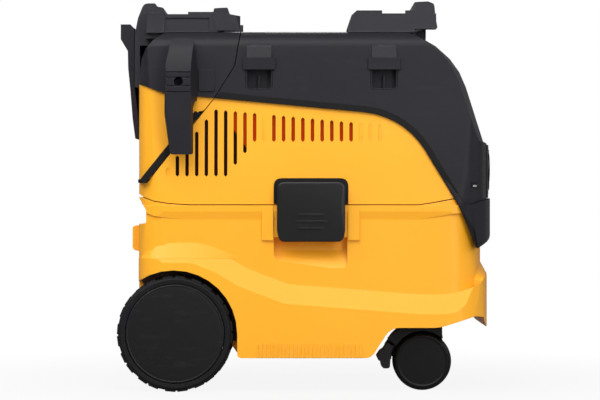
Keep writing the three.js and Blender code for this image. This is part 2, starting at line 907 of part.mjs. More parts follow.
function casterBody() {
  const topZ = casterTopZ - 1 - fit;
  const start = THREE.MathUtils.degToRad(62);
  const end = THREE.MathUtils.degToRad(148);
  const hoodArc = new THREE.EllipseCurve(
    -casterTrail,
    casterRadius,
    fenderRadius,
    fenderRadius,
    start,
    end,
  ).getPoints(8);
  const hood = acrossY(
    [
      new THREE.Vector2(-casterTrail, casterRadius - 3),
      new THREE.Vector2(-casterTrail + 30, casterRadius + 12),
      ...hoodArc,
    ],
    -casterHalf,
    casterHalf,
  );
  const block = box(
    -casterTrail - 20,
    -casterTrail + 26.5,
    1 - casterHalf,
    casterHalf - 1,
    topZ - 14,
    topZ,
  );
  const arm = acrossY(
    rounded(
      [
        [pedalPivotX - 5, pedalPivotZ + 5, 3],
        [pedalPivotX - 5, pedalPivotZ - 5, 4.5],
        [-casterTrail, casterRadius - 9, 8],
        [-casterTrail + 9, casterRadius, 8],
        [-casterTrail, casterRadius + 30],
      ],
      4,
    ),
    -casterWeb / 2,
    casterWeb / 2,
  );
  const slab = box(-200, 200, -200, 200, -200, topZ);
  let body = join(hood, block, arm).intersect(slab);
  const inner = casterWeb / 2;
  const well = rodY(wellRadius, -casterTrail, casterRadius, inner, 60, 18);
  const otherWell = rodY(wellRadius, -casterTrail, casterRadius, -60, -inner, 18);
  body = cut(
    body,
    well,
    otherWell,
    rodY(4 + fit, -casterTrail, casterRadius, -40, 40, 16),
    rodY(pinRadius + fit, pedalPivotX, pedalPivotZ, -40, 40, 12),
    rodZ(stemRadius + fit, 0, 0, topZ - 8, topZ + 10, 20),
  );
  return body;
}

function casterStem() {
  const topZ = casterTopZ - 1 - fit;
  return rodZ(stemRadius, 0, 0, topZ - 8 + fit, casterTopZ + 21, 20);
}

// One of a caster's two wheels, from its inner face outwards.
function casterWheel() {
  const inner = casterWeb / 2 + 0.6;
  const outer = inner + casterTreadWidth;
  const bore = 4 + fit;
  const profile = [
    [bore, inner],
    [casterRadius - 2.5, inner],
    [casterRadius, inner + 2.5],
    [casterRadius, outer - 4],
    [casterRadius - 3, outer - 1],
    [casterRadius - 13, outer - 0.6],
    [0, outer],
    [0, outer - 4],
    [bore, outer - 4],
    [bore, inner],
  ];
  return aboutY(profile, -casterTrail, casterRadius, 24);
}

const casterAxle = () => {
  const reach = casterWeb / 2 + casterTreadWidth - 4;
  return rodY(4, -casterTrail, casterRadius, -reach, reach, 16);
};

const pedalHalf = 17;

function brakePedal() {
  const x = pedalPivotX;
  const z = pedalPivotZ;
  const outline = rounded(
    [
      [x + 3, z - 3, 2],
      [x + 6.2, z + 5.5, 1.5],
      [x - 2, z + 11, 1.5],
      [x - 7, z + 2.5, 4],
      [x - 12, z - 1, 2],
      [x - 16.5, z - 8, 2],
      [x - 14, z - 13, 1.5],
      [x - 11, z - 14.5, 1],
      [x - 10, z - 21, 2.5],
      [x - 7, z - 24, 2],
      [x + 1.4, z - 24, 3],
    ],
    2,
  );
  const lever = acrossY(outline, -pedalHalf, pedalHalf);
  const slot = box(x - 8, x + 20, -casterWeb / 2 - fit, casterWeb / 2 + fit, z - 14, z + 20);
  const trunnion = rodY(pinRadius, x, z, -pedalHalf + 2, pedalHalf - 2, 12);
  return join(cut(lever, slot), trunnion);
}

// ---------------------------------------------------------------------------
// Latches
// ---------------------------------------------------------------------------
const latchPivotZ = latchTopZ - 9;
const latchInnerY = rimHalf + 2.6;
const latchPivotY = latchInnerY + 3.8;
const latchEarRadius = 3.2;
const latchEarX = 28;

// A plate for the +Y side whose outer face is set in by a chamfer all round.
function chamferedPlate(outline, innerY, outerY, wide, deep) {
  const flat = new THREE.ExtrudeGeometry(new THREE.Shape(outline), {
    depth: outerY - innerY - deep,
    bevelEnabled: true,
    bevelSegments: 1,
    bevelThickness: deep,
    bevelSize: wide,
    bevelOffset: -wide,
  });
  flat.translate(0, 0, deep - outerY);
  flat.applyMatrix4(new THREE.Matrix4().makeBasis(axisX, axisZ, axisY.clone().negate()));
  return solid(flat);
}

// A latch for the +Y side, drawn closed.
function latch() {
  const x0 = latchX - latchWidth / 2;
  const x1 = latchX + latchWidth / 2;
  const outerY = latchInnerY + latchThickness;
  const face = rounded(
    [
      [x0 + 3.5, latchBottomZ, 8],
      [x1 - 3.5, latchBottomZ, 8],
      [x1, latchBottomZ + 14, 30],
      [x1, latchTopZ, 9],
      [x0, latchTopZ, 9],
      [x0, latchBottomZ + 14, 30],
    ],
    3,
  );
  // The face is creased at the seam: the upper half leans back, the lower half under.
  const section = rounded(
    [
      [latchInnerY, latchBottomZ],
      [outerY - 2.6, latchBottomZ, 2],
      [outerY, seamZ - 1],
      [outerY - 1.6, latchTopZ],
      [latchInnerY, latchTopZ],
    ],
    2,
  );
  let body = chamferedPlate(face, latchInnerY - 1, outerY, 6, 2.6).intersect(
    alongX(section, x0 - 1, x1 + 1),
  );
  // Hollow from behind, with a nose that takes hold under the rim.
  const room = rectangle(x0 + wall, latchBottomZ + wall, x1 - wall, latchPivotZ - 6, 5, 1);
  body = body.subtract(acrossY(room, latchInnerY - 2, outerY - wall - 2.6));
  const noseZ = seamZ - rimHeight - fit;
  const nose = box(
    latchX - 22,
    latchX + 22,
    latchInnerY - 1.8,
    outerY - wall,
    noseZ - 6,
    noseZ,
  );
  body = body.add(nose);
  // Three grip bars.
  const bars = [0, 1, 2].map((i) => {
    const half = i === 1 ? 21 : 17;
    const z = seamZ - 12.5 - i * 9;
    const bar = rectangle(latchX - half, z - 1.3, latchX + half, z + 1.3, 1.2, 2);
    return acrossY(bar, outerY - 3, outerY + 0.4 - i * 0.5);
  });
  body = join(body, ...bars);
  // Room behind the face for the two ears on the head, and the pin's bore.
  const ears = [-1, 1].map((s) => {
    const x = latchX + s * latchEarX;
    const deep = latchPivotY + latchEarRadius + 0.5;
    return box(x - 4.3, x + 4.3, latchInnerY - 3, deep, latchPivotZ - 8, latchTopZ + 2);
  });
  const bore = rodX(pinRadius + fit, latchPivotY, latchPivotZ, x0 + 6, x1 - 6, 14);
  return cut(body, ...ears, bore);
}

// ---------------------------------------------------------------------------
// Motor head
// ---------------------------------------------------------------------------

// A round-ended vent slot in both side walls.
function ventSlots() {
  const through = [];
  for (let i = 0; i < slotCount; i += 1) {
    const x = slotRearX + i * slotPitch;
    const high = Math.min(lipLineZ(x) - 14.5, seamLineZ(x - 8) - 4);
    const low = Math.min(slotHighZ, slotLowZ + Math.max(0, i - 6) * 15.4);
    if (high - low < slotWidth * 1.5) continue;
    const blind = i === 0 || i === 10 || i > slotCount - 4;
    const outline = rectangle(
      x - slotWidth / 2,
      low,
      x + slotWidth / 2,
      high,
      slotWidth / 2 - 0.02,
      1,
    );
    const depth = blind ? headHalfAt(low) - 1.4 : headHalf - 30;
    through.push(acrossY(outline, depth, skirtHalf + 10));
    through.push(acrossY(outline, -skirtHalf - 10, -depth));
  }
  return through;
}

function headShell() {
  let shell = cut(
    headForm(0),
    underSeam(headZ - seamZ),
    headForm(-wall, innerSteps),
    behindSeam(0),
    aboveLip(underLip, skirtHalf + 20),
  );
  shell = cut(shell, ...ventSlots(), latchBay(), mirrored(latchBay()));
  // Ears for the cover's hinge pin.
  for (const s of [-1, 1]) shell = shell.add(hingeEar(s * 63, -1));
  // Ears for the latches' pins.
  for (const side of [-1, 1]) {
    for (const s of [-1, 1]) shell = shell.add(latchEar(latchX + s * latchEarX, side));
  }
  const gland = rodX(glandRadius + fit, glandY, glandZ, rearWallX - 10, rearWallX + 20, 18);
  return shell.subtract(gland);
}

// A shallow arch in the head's side, so that a latch sits in its own shadow.
function latchBay() {
  const outline = rectangle(
    latchX - latchWidth / 2 - 3,
    seamZ - 20,
    latchX + latchWidth / 2 + 3,
    latchTopZ + 4,
    10,
  );
  return acrossY(outline, headHalfAt(latchTopZ + 4) - 1.4, skirtHalf + 10);
}

function hingeEar(y, way) {
  const half = 3;
  const root = way < 0 ? hingeLandZ - 12 : hingeZ + 14;
  const stalk = acrossY(
    way < 0
      ? rectangle(rearWallX + wall - 0.8, root, hingeX + knuckleRadius, hingeZ)
      : rectangle(rearWallX + wall - 0.8, hingeZ, hingeX + knuckleRadius, root),
    y - half,
    y + half,
  );
  const knuckle = rodY(knuckleRadius, hingeX, hingeZ, y - half, y + half, 18);
  const bore = rodY(1.5 + fit, hingeX, hingeZ, y - half - 1, y + half + 1, 12);
  return cut(join(stalk, knuckle), bore);
}

function latchEar(x, side) {
  const inner = headHalfAt(latchPivotZ) - wall + 0.5;
  const outer = latchPivotY + latchEarRadius;
  const outline = rounded(
    [
      [inner, latchPivotZ - latchEarRadius - 2],
      [outer, latchPivotZ - latchEarRadius, latchEarRadius - 0.1],
      [outer, latchPivotZ + latchEarRadius, latchEarRadius - 0.1],
      [inner, latchPivotZ + latchEarRadius],
    ],
    3,
  );
  const ear = alongX(outline, x - 4, x + 4);
  const bore = rodX(pinRadius + fit, latchPivotY, latchPivotZ, x - 6, x + 6, 14);
  const body = cut(ear, bore);
  return side > 0 ? body : mirrored(body);
}

// The filter cover's yellow lower shell, a U round the rear of the head.
function rearCover() {
  const shellSide = headForm(0).intersect(behindSeam(seamGap));
  const proud = aboveLip(-fit, skirtHalf + 20).subtract(hoodForm(-2.5));
  let shell = cut(
    shellSide,
    headForm(-wall, innerSteps),
    aboveLip(underLip, skirtHalf + 20),
    proud,
  );
  const backX = hingeLandX;
  // The open slot above the hinge, and the land over the head's rear wall.
  const slot = acrossY(
    [
      [rearWallX + 44.6, seamLineZ(rearWallX + 44.6) + 0.5],
      [rearWallX + 41.5, seamLineZ(rearWallX + 44.6) + 5],
      [rearWallX + 11.6, seamLineZ(rearWallX + 11.6) + 8.6],
      [rearWallX + 8.4, hingeLandZ + 3.2],
      [rearWallX + 4.3, hingeLandZ + 2],
      [rearWallX + 4.3, hingeLandZ - 10],
      [backX, hingeLandZ - 10],
    ].map(([x, z]) => new THREE.Vector2(x, z)),
    -skirtHalf - 10,
    skirtHalf + 10,
  );
  const land = box(rearX, backX, -skirtHalf, skirtHalf, seamZ, hingeLandZ + 3.6);
  // A finger notch beside each side hook.
  const notch = acrossY(
    [
      [rearWallX + 78, seamLineZ(rearWallX + 78) - 3],
      [rearWallX + 78, seamLineZ(rearWallX + 78) + 10],
      [rearWallX + 82, seamLineZ(rearWallX + 78) + 13],
      [rearWallX + 90, seamLineZ(rearWallX + 90) - 1],
    ].map(([x, z]) => new THREE.Vector2(x, z)),
    -skirtHalf - 10,
    skirtHalf + 10,
  );
  const sweep = rodY(hingeZ - hingeLandZ - fit, hingeX, hingeZ, -72, 72, 18);
  shell = cut(shell, slot, land, notch, sweep);
  for (const s of [-1, 1]) shell = shell.add(hingeEar(s * 56.6, 1));
  return shell;
}

const coverHingePin = () => rodY(1.5, hingeX, hingeZ, -67, 67, 12);

// The black upper half of the filter cover.
function rearHood() {
  const form = hoodForm(0).intersect(behindSeam(seamGap)).intersect(aboveLip(0, skirtHalf + 20));
  const padOutline = rectangle(hookX + 23.6, hookScrewZ - 12, hookX + 44.6, hookScrewZ + 17, 3);
  const pad = hoodForm(2)
    .intersect(behindSeam(seamGap))
    .intersect(acrossY(padOutline, -skirtHalf, skirtHalf));
  let body = cut(join(form, pad), hoodRoom());
  const screw = rodY(2 + fit, hookScrewX, hookScrewZ, -skirtHalf - 30, skirtHalf + 30, 14);
  body = body.subtract(screw);
  return body;
}

const loopWidth = 36;
const loopTopZ = hoodTopZ - 37;
const loopBottomZ = hoodTopZ - 82;
const loopPlaces = [rearWallX + 161, frontWallX - 138];

// The hood's wall is thicker under its lashing points.
const shoulderFloor = () =>
  box(loopPlaces[0] - 14, loopPlaces[0] + 10, -hoodHalf, hoodHalf, hoodTopZ - 12, hoodTopZ);

// A lashing point let into each shoulder of the hood.
const shoulderPocket = () =>
  join(
    ...[-1, 1].map((side) => {
      const x = loopPlaces[0] - 2;
      const y = side * (headHalfAt(hoodTopZ) - 16);
      return box(x - 9.5, x + 9.5, y - 9, y + 9, hoodTopZ - 6, hoodTopZ + 5);
    }),
  );

function hood() {
  const form = cut(hoodForm(0), behindSeam(0)).intersect(
    aboveLip(0, hoodHalf + 3, 10).intersect(
      box(-frontX - 60, frontX + 60, -skirtHalf, skirtHalf, seamZ - 80, hoodTopZ + 40),
    ),
  );
  // The bottom edge steps up over the tank's chin.
  const foot = acrossY(
    rounded([
      [lipFrontX - 60, seamZ - 100],
      [frontX + 20, seamZ - 100],
      [frontX + 20, chinTopZ + 4.2],
      [frontX, chinTopZ + 0.6],
      [frontX - 20, chinTopZ - 3],
      [frontX - 38, seamZ + 0.6],
      [lipFrontX - 60, seamZ + 0.6],
    ]),
    -skirtHalf - 10,
    skirtHalf + 10,
  );
  const holes = [];
  for (const x of loopPlaces) {
    const outline = rectangle(
      x - loopWidth / 2 - fit,
      loopBottomZ - fit,
      x + loopWidth / 2 + fit,
      loopTopZ + fit,
      6,
    );
    holes.push(acrossY(outline, headHalf - 40, skirtHalf + 10));
    holes.push(acrossY(outline, -skirtHalf - 10, 40 - headHalf));
  }
  for (const [y, z] of knobPlaces) {
    holes.push(rodX(knobRadius + 5 + fit, y, z, frontWallX - 40, frontX + 10, 16));
  }
  holes.push(rodX(socketRadius + 3 + fit, 0, socketZ, frontWallX - 40, frontX + 10, 24));
  holes.push(rodZ(9 + fit, lockX, 0, hoodTopZ - 30, hoodTopZ + 20, 20));
  return cut(form, cut(hoodRoom(), shoulderFloor()), foot, ...holes, shoulderPocket());
}

// A strap loop: a moulded cup in the hood's side with a bar across it, +Y side.
function strapLoop(x) {
  const face = headHalfAt(loopTopZ) + 4;
  const depth = 15;
  const half = loopWidth / 2;
  const cup = acrossY(
    rectangle(x - half, loopBottomZ, x + half, loopTopZ, 5.5),
    face - depth,
    face - 0.2,
  );
  const room = acrossY(
    rectangle(x - half + 2, loopBottomZ + 2, x + half - 2, loopTopZ - 2, 4),
    face - depth + 2,
    face + 10,
  );
  const barLowZ = loopTopZ - 18;
  const barHighZ = loopTopZ - 2;
  const bar = box(x - half - 3, x + half + 3, face - 2.5, face + 4, barLowZ, barHighZ);
  const ramp = alongX(
    [
      [face - 1, loopTopZ + 16],
      [face + 4, barHighZ - 1],
      [face - 2.2, barHighZ - 1],
      [face - 2.2, loopTopZ - 1],
    ].map(([y, z]) => new THREE.Vector2(y, z)),
    x - half + 1.5,
    x + half - 1.5,
  );
  const rib = box(x - 1, x + 1, face - depth + 1, face - 6, loopBottomZ + 1, barLowZ - 8);
  const made = join(cut(cup, room), bar, ramp, rib);
  // The hood's leaning side stays clear behind the bar's ends and the ramp.
  const cupPlace = acrossY(
    rectangle(x - half, loopBottomZ, x + half, loopTopZ, 5.5),
    face - depth - 1,
    face + 20,
  );
  const outside = cut(made, hoodForm(fit));
  return join(made.intersect(cupPlace), outside);
}

// ---------------------------------------------------------------------------
// Front controls
// ---------------------------------------------------------------------------
const knobPlaces = [
  [-62, seamZ + 50],
  [62, seamZ + 50],
];
const socketRadius = 22;
const socketZ = seamZ + 46;
const panelHalf = 100;

function controlPanel() {
  const plate = hoodFront(frontX - 2, 0).intersect(
    box(frontWallX, frontX, -panelHalf, panelHalf, panelBottomZ, panelTopZ - 2),
  );
  let body = plate.subtract(hoodFront(hoodFrontX, fit));
  for (const [y, z] of knobPlaces) {
    const cup = aboutX(
      [
        [0, frontWallX - 13],
        [knobRadius + 5, frontWallX - 13],
        [knobRadius + 5, frontX - 4],
        [0, frontX - 4],
      ],
      y,
      z,
      16,
    );
    const room = rodX(knobRadius + 3, y, z, frontWallX - 10, frontX + 5, 16);
    const shaft = rodX(3 + fit, y, z, frontWallX - 40, frontX, 12);
    body = cut(join(body, cup), room, shaft);
  }
  return body.subtract(alongX(bezelOutline(fit), frontWallX - 20, frontX + 10));
}

// A plain front face at x, bowed as the body's plan is.
function hoodFront(x, grow) {
  return upZ(bodyPlan(hoodHalf, rearWallX, x, grow), seamZ, hoodTopZ);
}

function knob(y, z) {
  const faceX = frontX - 4.5;
  const profile = [
    [0, frontWallX - 22],
    [3, frontWallX - 22],
    [3, frontWallX - 9.7],
    [knobRadius, frontWallX - 9.7],
    [knobRadius, frontWallX - 4],
    [knobRadius - 2.5, frontWallX - 2],
    [0, frontWallX - 2],
  ];
  const grip = aboutX(profile, y, z, 20);
  const bar = box(frontWallX - 4, faceX, y - 3.5, y + 3.5, z - knobRadius + 2, z + knobRadius - 2);
  return join(grip, bar);
}

const bezelHalf = 29;
const bezelX = hoodFrontX + 0.4;
const bezelFaceX = frontX - 1.6;
const flapHingeZ = socketZ + socketRadius + 6;
const flapHingeX = frontX - 2;
const flapBarrel = 1.8;
const flapPin = 0.9;

// The bezel's outline, also cut in the control panel.
const bezelOutline = (grow) =>
  rectangle(
    -bezelHalf - grow,
    socketZ - bezelHalf + 2 - grow,
    bezelHalf + grow,
    flapHingeZ + 5 + grow,
    5,
    2,
  );

// The power tool's socket: a deep cup behind a bezel with ears for its flap.
function toolSocket() {
  const back = frontWallX - 26;
  const profile = [
    [0, back],
    [socketRadius + 3, back],
    [socketRadius + 3, bezelX + 0.5],
    [socketRadius, bezelX + 0.5],
    [socketRadius, back + 14],
    [0, back + 14],
  ];
  const cup = aboutX(profile, 0, socketZ, 24);
  const bezel = alongX(bezelOutline(0), bezelX, bezelFaceX);
  const ears = [-16, 16].map((y) =>
    box(bezelX, frontX, y - 2.5, y + 2.5, flapHingeZ - 3, flapHingeZ + 3),
  );
  const pin = (y) => rodX(2.4, y, socketZ, back + 2, back + 20, 10);
  const barrelRoom = box(bezelX - 1, frontX, -13.2, 13.2, flapHingeZ - 3.2, flapHingeZ + 3.2);
  return cut(
    join(cup, cut(bezel, rodX(socketRadius, 0, socketZ, bezelX - 1, frontX, 24)), ...ears),
    barrelRoom,
    rodY(flapPin + fit, flapHingeX, flapHingeZ, -20, 20, 10),
    pin(-9.5),
    pin(9.5),
  );
}

function socketFlap() {
  const outline = rounded(
    [
      [-socketRadius - 3, socketZ - socketRadius - 3, 8],
      [socketRadius + 3, socketZ - socketRadius - 3, 8],
      [socketRadius + 3, flapHingeZ - 4.5],
      [12, flapHingeZ - 4.5],
      [12, flapHingeZ],
      [-12, flapHingeZ],
      [-12, flapHingeZ - 4.5],
      [-socketRadius - 3, flapHingeZ - 4.5],
    ],
    3,
  );
  return join(
    alongX(outline, bezelFaceX + fit, frontX),
    rodY(flapBarrel, flapHingeX, flapHingeZ, -12.8, 12.8, 12),
    rodY(flapPin, flapHingeX, flapHingeZ, -17.5, 17.5, 10),
  );
}

// ---------------------------------------------------------------------------
// Inside the head
// ---------------------------------------------------------------------------
const sealWidth = 4;
const sealInset = 8;
const motorX = rearWallX + 275;

function tankSeal() {
  const outer = bodyPlan(tankHalf, rearWallX, frontWallX, -sealInset, innerSteps);
  const inner = bodyPlan(tankHalf, rearWallX, frontWallX, -sealInset - sealWidth, innerSteps);
  return cut(
    upZ(outer, seamZ + fit, headZ + 2.5),
    upZ(inner, seamZ - 5, headZ + 10),
  );
}

function basePlate() {
  const inset = -wall - draft * 8 - fit;
  const plan = bodyPlan(headHalf, rearWallX, frontWallX - 3, inset, innerSteps);
  const sealOuter = fit - sealInset;
  const sealInner = -sealInset - sealWidth - fit;
  const groove = cut(
    upZ(
      bodyPlan(tankHalf, rearWallX, frontWallX, sealOuter, innerSteps),
      headZ - 5,
      headZ + 2.8,
    ),
    upZ(
      bodyPlan(tankHalf, rearWallX, frontWallX, sealInner, innerSteps),
      headZ - 6,
      headZ + 4,
    ),
  );
  const port = (y0, y1) =>
    upZ(rectangle(rearWallX + 32, y0, rearWallX + 128, y1, 8), headZ - 5, plateZ + 5);
  const spigot = aboutZ(
    [
      [fanRadius * 0.45, headZ - 18],
      [fanRadius * 0.45 + 3, headZ - 18],
      [fanRadius * 0.45 + 3, plateZ - 1],
      [fanRadius * 0.45, plateZ - 1],
      [fanRadius * 0.45, headZ - 18],
    ],
    motorX,
    0,
    24,
  );
  let body = cut(
    upZ(plan, headZ, plateZ),
    groove,
    port(12, 136),
    port(-136, -12),
    rodZ(fanRadius * 0.45, motorX, 0, headZ - 10, plateZ + 10, 24),
  );
  body = join(body, spigot, airBaffle());
  for (const s of [-1, 1]) {
    const hole = rodZ(pinRadius + fit, probeX, s * probeSpread, headZ - 5, plateZ + 5, 12);
    body = body.subtract(hole);
  }
  return body;
}

// A wall down the middle that parts the two air paths.
function airBaffle() {
  const rear = rearWallX + 30;
  const front = motorX - motorRadius - 3;
  const highZ = plateZ + fit + fanHeight + motorHeight;
  return acrossY(
    [
      [rear, plateZ - 1],
      [motorX - fanRadius - 2, plateZ - 1],
      [motorX - fanRadius - 2, plateZ + fanHeight + 3],
      [front, plateZ + fanHeight + 3],
      [front, highZ],
      [rear + 80, highZ],
      [rear, highZ - 70],
    ].map(([x, z]) => new THREE.Vector2(x, z)),
    -1.6,
    1.6,
  );
}

const probeX = rearWallX + 380;
const probeSpread = 14;

// Two steel rods in one plug stop the motor when dirty water reaches them.
function levelProbe() {
  const rods = [-probeSpread, probeSpread].map((y) =>
    rodZ(pinRadius, probeX, y, seamZ - 32, plateZ + 3, 12),
  );
  const plug = box(
    probeX - 6,
    probeX + 6,
    -probeSpread - 6,
    probeSpread + 6,
    plateZ + fit,
    plateZ + 5,
  );
  return join(plug, ...rods);
}

const fanHeight = 46;
const motorHeight = 100;
const bossRadius = 7; // the motor's top boss, held by the yoke

function fanHousing() {
  const low = plateZ + fit;
  const eye = fanRadius * 0.4;
  const profile = [
    [eye, low],
    [fanRadius, low],
    [fanRadius, low + fanHeight - 8],
    [fanRadius - 8, low + fanHeight],
    [0, low + fanHeight],
    [0, low + fanHeight - 6],
    [eye, low + fanHeight - 6],
    [eye, low],
  ];
  const drum = aboutZ(profile, motorX, 0, 20);
  const outlet = rodY(12, motorX + fanRadius - 20, low + 22, 0, fanRadius + 5, 20);
  return drum.subtract(outlet);
}

function motor() {
  const low = plateZ + fit + fanHeight + fit;
  const profile = [
    [0, low],
    [motorRadius, low],
    [motorRadius, low + 12],
    [motorRadius - 6, low + 14],
    [motorRadius - 6, low + motorHeight - 22],
    [motorRadius - 14, low + motorHeight - 8],
    [bossRadius, low + motorHeight - 8],
    [bossRadius, low + motorHeight],
    [0, low + motorHeight],
  ];
  return aboutZ(profile, motorX, 0, 18);
}

// The yoke that holds the motor down on the base plate.
function motorYoke() {
  const low = plateZ + fit;
  const top = plateZ + 2 * fit + fanHeight + motorHeight - 8;
  const inner = fanRadius + 1;
  const outer = inner + 6;
  const foot = outer + 10;
  const legs = rounded([
    [-foot, low],
    [-inner, low],
    [-inner, top - 14],
    [12 - motorRadius, top + fit],
    [motorRadius - 12, top + fit],
    [inner, top - 14],
    [inner, low],
    [foot, low],
    [foot, low + 4],
    [outer, low + 4],
    [outer, top - 12],
    [motorRadius - 10, top + 5],
    [10 - motorRadius, top + 5],
    [-outer, top - 12],
    [-outer, low + 4],
    [-foot, low + 4],
  ]);
  const strap = alongX(legs, motorX - 11, motorX + 11);
  return cut(strap, rodZ(bossRadius + fit, motorX, 0, top - 4, top + 20, 20));
}

const filterHeight = 118;

// A pleated cartridge filter in its rectangular collar.
function filter(side) {
  const y0 = 14;
  const y1 = 134;
  const x0 = rearWallX + 34;
  const x1 = rearWallX + 126;
  const low = plateZ + fit;
  const pleats = 11;
  const depth = 7;
  const outline = [];
  const step = (x1 - x0 - 8) / pleats;
  for (let i = 0; i <= pleats; i += 1) {
    outline.push([x0 + 4 + i * step, y0 + 4 + (i % 2 === 0 ? 0 : depth)]);
  }
  for (let i = pleats; i >= 0; i -= 1) {
    outline.push([x0 + 4 + i * step, y1 - 4 - (i % 2 === 0 ? depth : 0)]);
  }
  const media = upZ(
    outline.map(([x, y]) => new THREE.Vector2(x, y)),
    low + 6,
    low + filterHeight - 4,
  );
  const collar = upZ(rectangle(x0 - 5, y0 - 5, x1 + 5, y1 + 5, 8), low, low + 7);
  const lid = upZ(rectangle(x0, y0, x1, y1, 8), low + filterHeight - 6, low + filterHeight);
  const body = join(media, collar, lid);
  return side > 0 ? body : mirrored(body);
}

function controlBoard() {
  const x = frontWallX - 25.5;
  const board = box(x, x + 2, -88, 88, panelBottomZ + 6, panelTopZ - 6);
  const shafts = knobPlaces.map(([y, z]) => rodX(3 + fit, y, z, x - 5, x + 5, 14));
  const window = rodX(socketRadius + 4, 0, socketZ, x - 5, x + 5, 16);
  const posts = knobPlaces.flatMap(([y, z]) =>
    [-1, 1].map((s) => rodX(2.5, y + s * 12, z, x + 1, frontWallX - 13 - fit, 8)),
  );
  return cut(join(board, ...posts), ...shafts, window);
}

function cordGland() {
  const bore = 3.6;
  const profile = [
    [bore, rearWallX - 9],
    [bore + 1.6, rearWallX - 9],
    [glandRadius + 0.6, rearWallX - 3.5],
    [glandRadius + 2.4, rearWallX - 2.5],
    [glandRadius + 2.4, rearWallX - fit],
    [glandRadius, rearWallX - fit],
    [glandRadius, rearWallX + 16],
    [bore, rearWallX + 16],
    [bore, rearWallX - 9],
  ];
  return aboutX(profile, glandY, glandZ, 18);
}

const lockX = seamTopX + 26;

// The quarter-turn knob that keeps the filter cover shut.
function coverLock() {
  const knobBody = aboutZ(
    [
      [0, hoodTopZ - 16],
      [5, hoodTopZ - 16],
      [9, hoodTopZ - 12],
      [9, hoodTopZ + fit],
      [12, hoodTopZ + fit],
      [12, hoodTopZ + 2.4],
      [0, hoodTopZ + 2.4],
    ],
    lockX,
    0,
    24,
  );
  const grip = box(lockX - 10, lockX + 10, -2, 2, hoodTopZ + 2, hoodTopZ + 5);
  return join(knobBody, grip);
}

// ---------------------------------------------------------------------------
// Hooks and docks
// ---------------------------------------------------------------------------

// A cord hook for the +Y side: a pad on the cover and an arm that hangs down.
function sideHook() {
  const padY = headHalfAt(hookScrewZ) + 4;
  const armY = padY + hookGap;
  const outerY = armY + hookThickness;
  const outline = rounded(
    [
      [hookX - 13, hookBottomZ, 4],
      [hookX + 17, hookBottomZ, 3],
      [hookX + 23, hookTopZ - 50, 60],
      [hookX + 17, hookTopZ, 7],
      [hookX - 12, hookTopZ, 9],
      [hookX - 20, hookTopZ - 42, 60],
      [hookX - 20.5, hookTopZ - 100, 60],
    ],
    4,
  );
  const groove = (z, deep) => [
    [outerY, z + 1],
    [outerY - deep, z + 0.8],
    [outerY - deep, z - 0.8],
    [outerY, z - 1],
  ];
  const grooves = [
    groove(hookTopZ - 46, 1.2),
    groove(hookTopZ - 53, 1.2),
    groove(hookTopZ - 64, 1.2),
    groove(hookTopZ - 72, 1.6),
  ].flat();
  const section = [
    [padY - 6, hookTopZ + 1],
    [padY + 12, hookTopZ + 1],
    [outerY - 7, hookTopZ - 14],
    [outerY - 2, hookTopZ - 34],
    ...grooves,
    [outerY, hookTopZ - 110],
    [outerY - 2, hookBottomZ],
    [armY, hookBottomZ],
    [armY, hookTopZ - 92],
    [armY - 6, hookTopZ - 84],
    [padY - 6, hookTopZ - 82],
  ].map(([y, z]) => new THREE.Vector2(y, z));
  const flank = upZ(
    rounded([
      [hookX - 22, padY - 8],
      [hookX + 24, padY - 8],
      [hookX + 24, padY + 2],
      [hookX + 14, outerY + 0.1, 1.5],
      [hookX - 18, outerY + 0.1, 1.5],
      [hookX - 22, outerY - 5],
    ], 2),
    hookBottomZ - 5,
    hookTopZ + 5,
  );
  const body = alongX(section, hookX - 30, hookX + 30)
    .intersect(acrossY(outline, padY - 10, outerY + 5))
    .intersect(flank);
  const bore = rodY(2 + fit, hookScrewX, hookScrewZ, padY - 20, outerY + 5, 14);
  const sink = rodY(6, hookScrewX, hookScrewZ, padY + 6, outerY + 5, 20);
  return cut(body, hoodForm(fit), headForm(fit), bore, sink);
}

function hookScrew() {
  const padY = headHalfAt(hookScrewZ) + 4;
  const profile = [
    [0, padY - 14],
    [2, padY - 14],
    [2, padY + 6 + fit],
    [5, padY + 6 + fit],
    [5, padY + 10],
    [0, padY + 10],
  ];
  return aboutY(profile, hookScrewX, hookScrewZ, 16);
}

// The band at the back that keeps the wound cord off the cover.
function rearHook() {
  const outer = rearX + 11;
  const inner = rearWallX - 8;
  const band = [
    [inner, hoodTopZ + 4],
    [outer + 3, hoodTopZ + 4],
    [outer + 2, hoodTopZ + 9],
    [rearX, hoodTopZ + 9],
    [rearX, hoodTopZ - 11],
    [outer - 1.5, hoodTopZ - 27],
    [outer - 1, hoodTopZ - 50],
    [outer + 2, hoodTopZ - 80],
    [outer + 5, hoodTopZ - 118],
    [rearWallX - 7, hoodTopZ - 145],
    [rearWallX - 1.5, hoodTopZ - 146],
    [rearWallX - 4, hoodTopZ - 110],
    [inner + 0.2, hoodTopZ - 76],
  ].map(([x, z]) => new THREE.Vector2(x, z));
  const half = rearHookWidth / 2;
  return acrossY(band, -half, half);
}

const dockHalf = dockWidth / 2;
const dockTopZ = hoodTopZ - 1 + dockWallHeight;
const dockFloorZ = hoodTopZ + 3.3;

// One side wall of a dock: thick outside, stepped ledge inside for the case.
function dockWall(outline, lowZ, topZ) {
  return join(upZ(outline, lowZ, topZ), mirrored(upZ(outline, lowZ, topZ)));
}

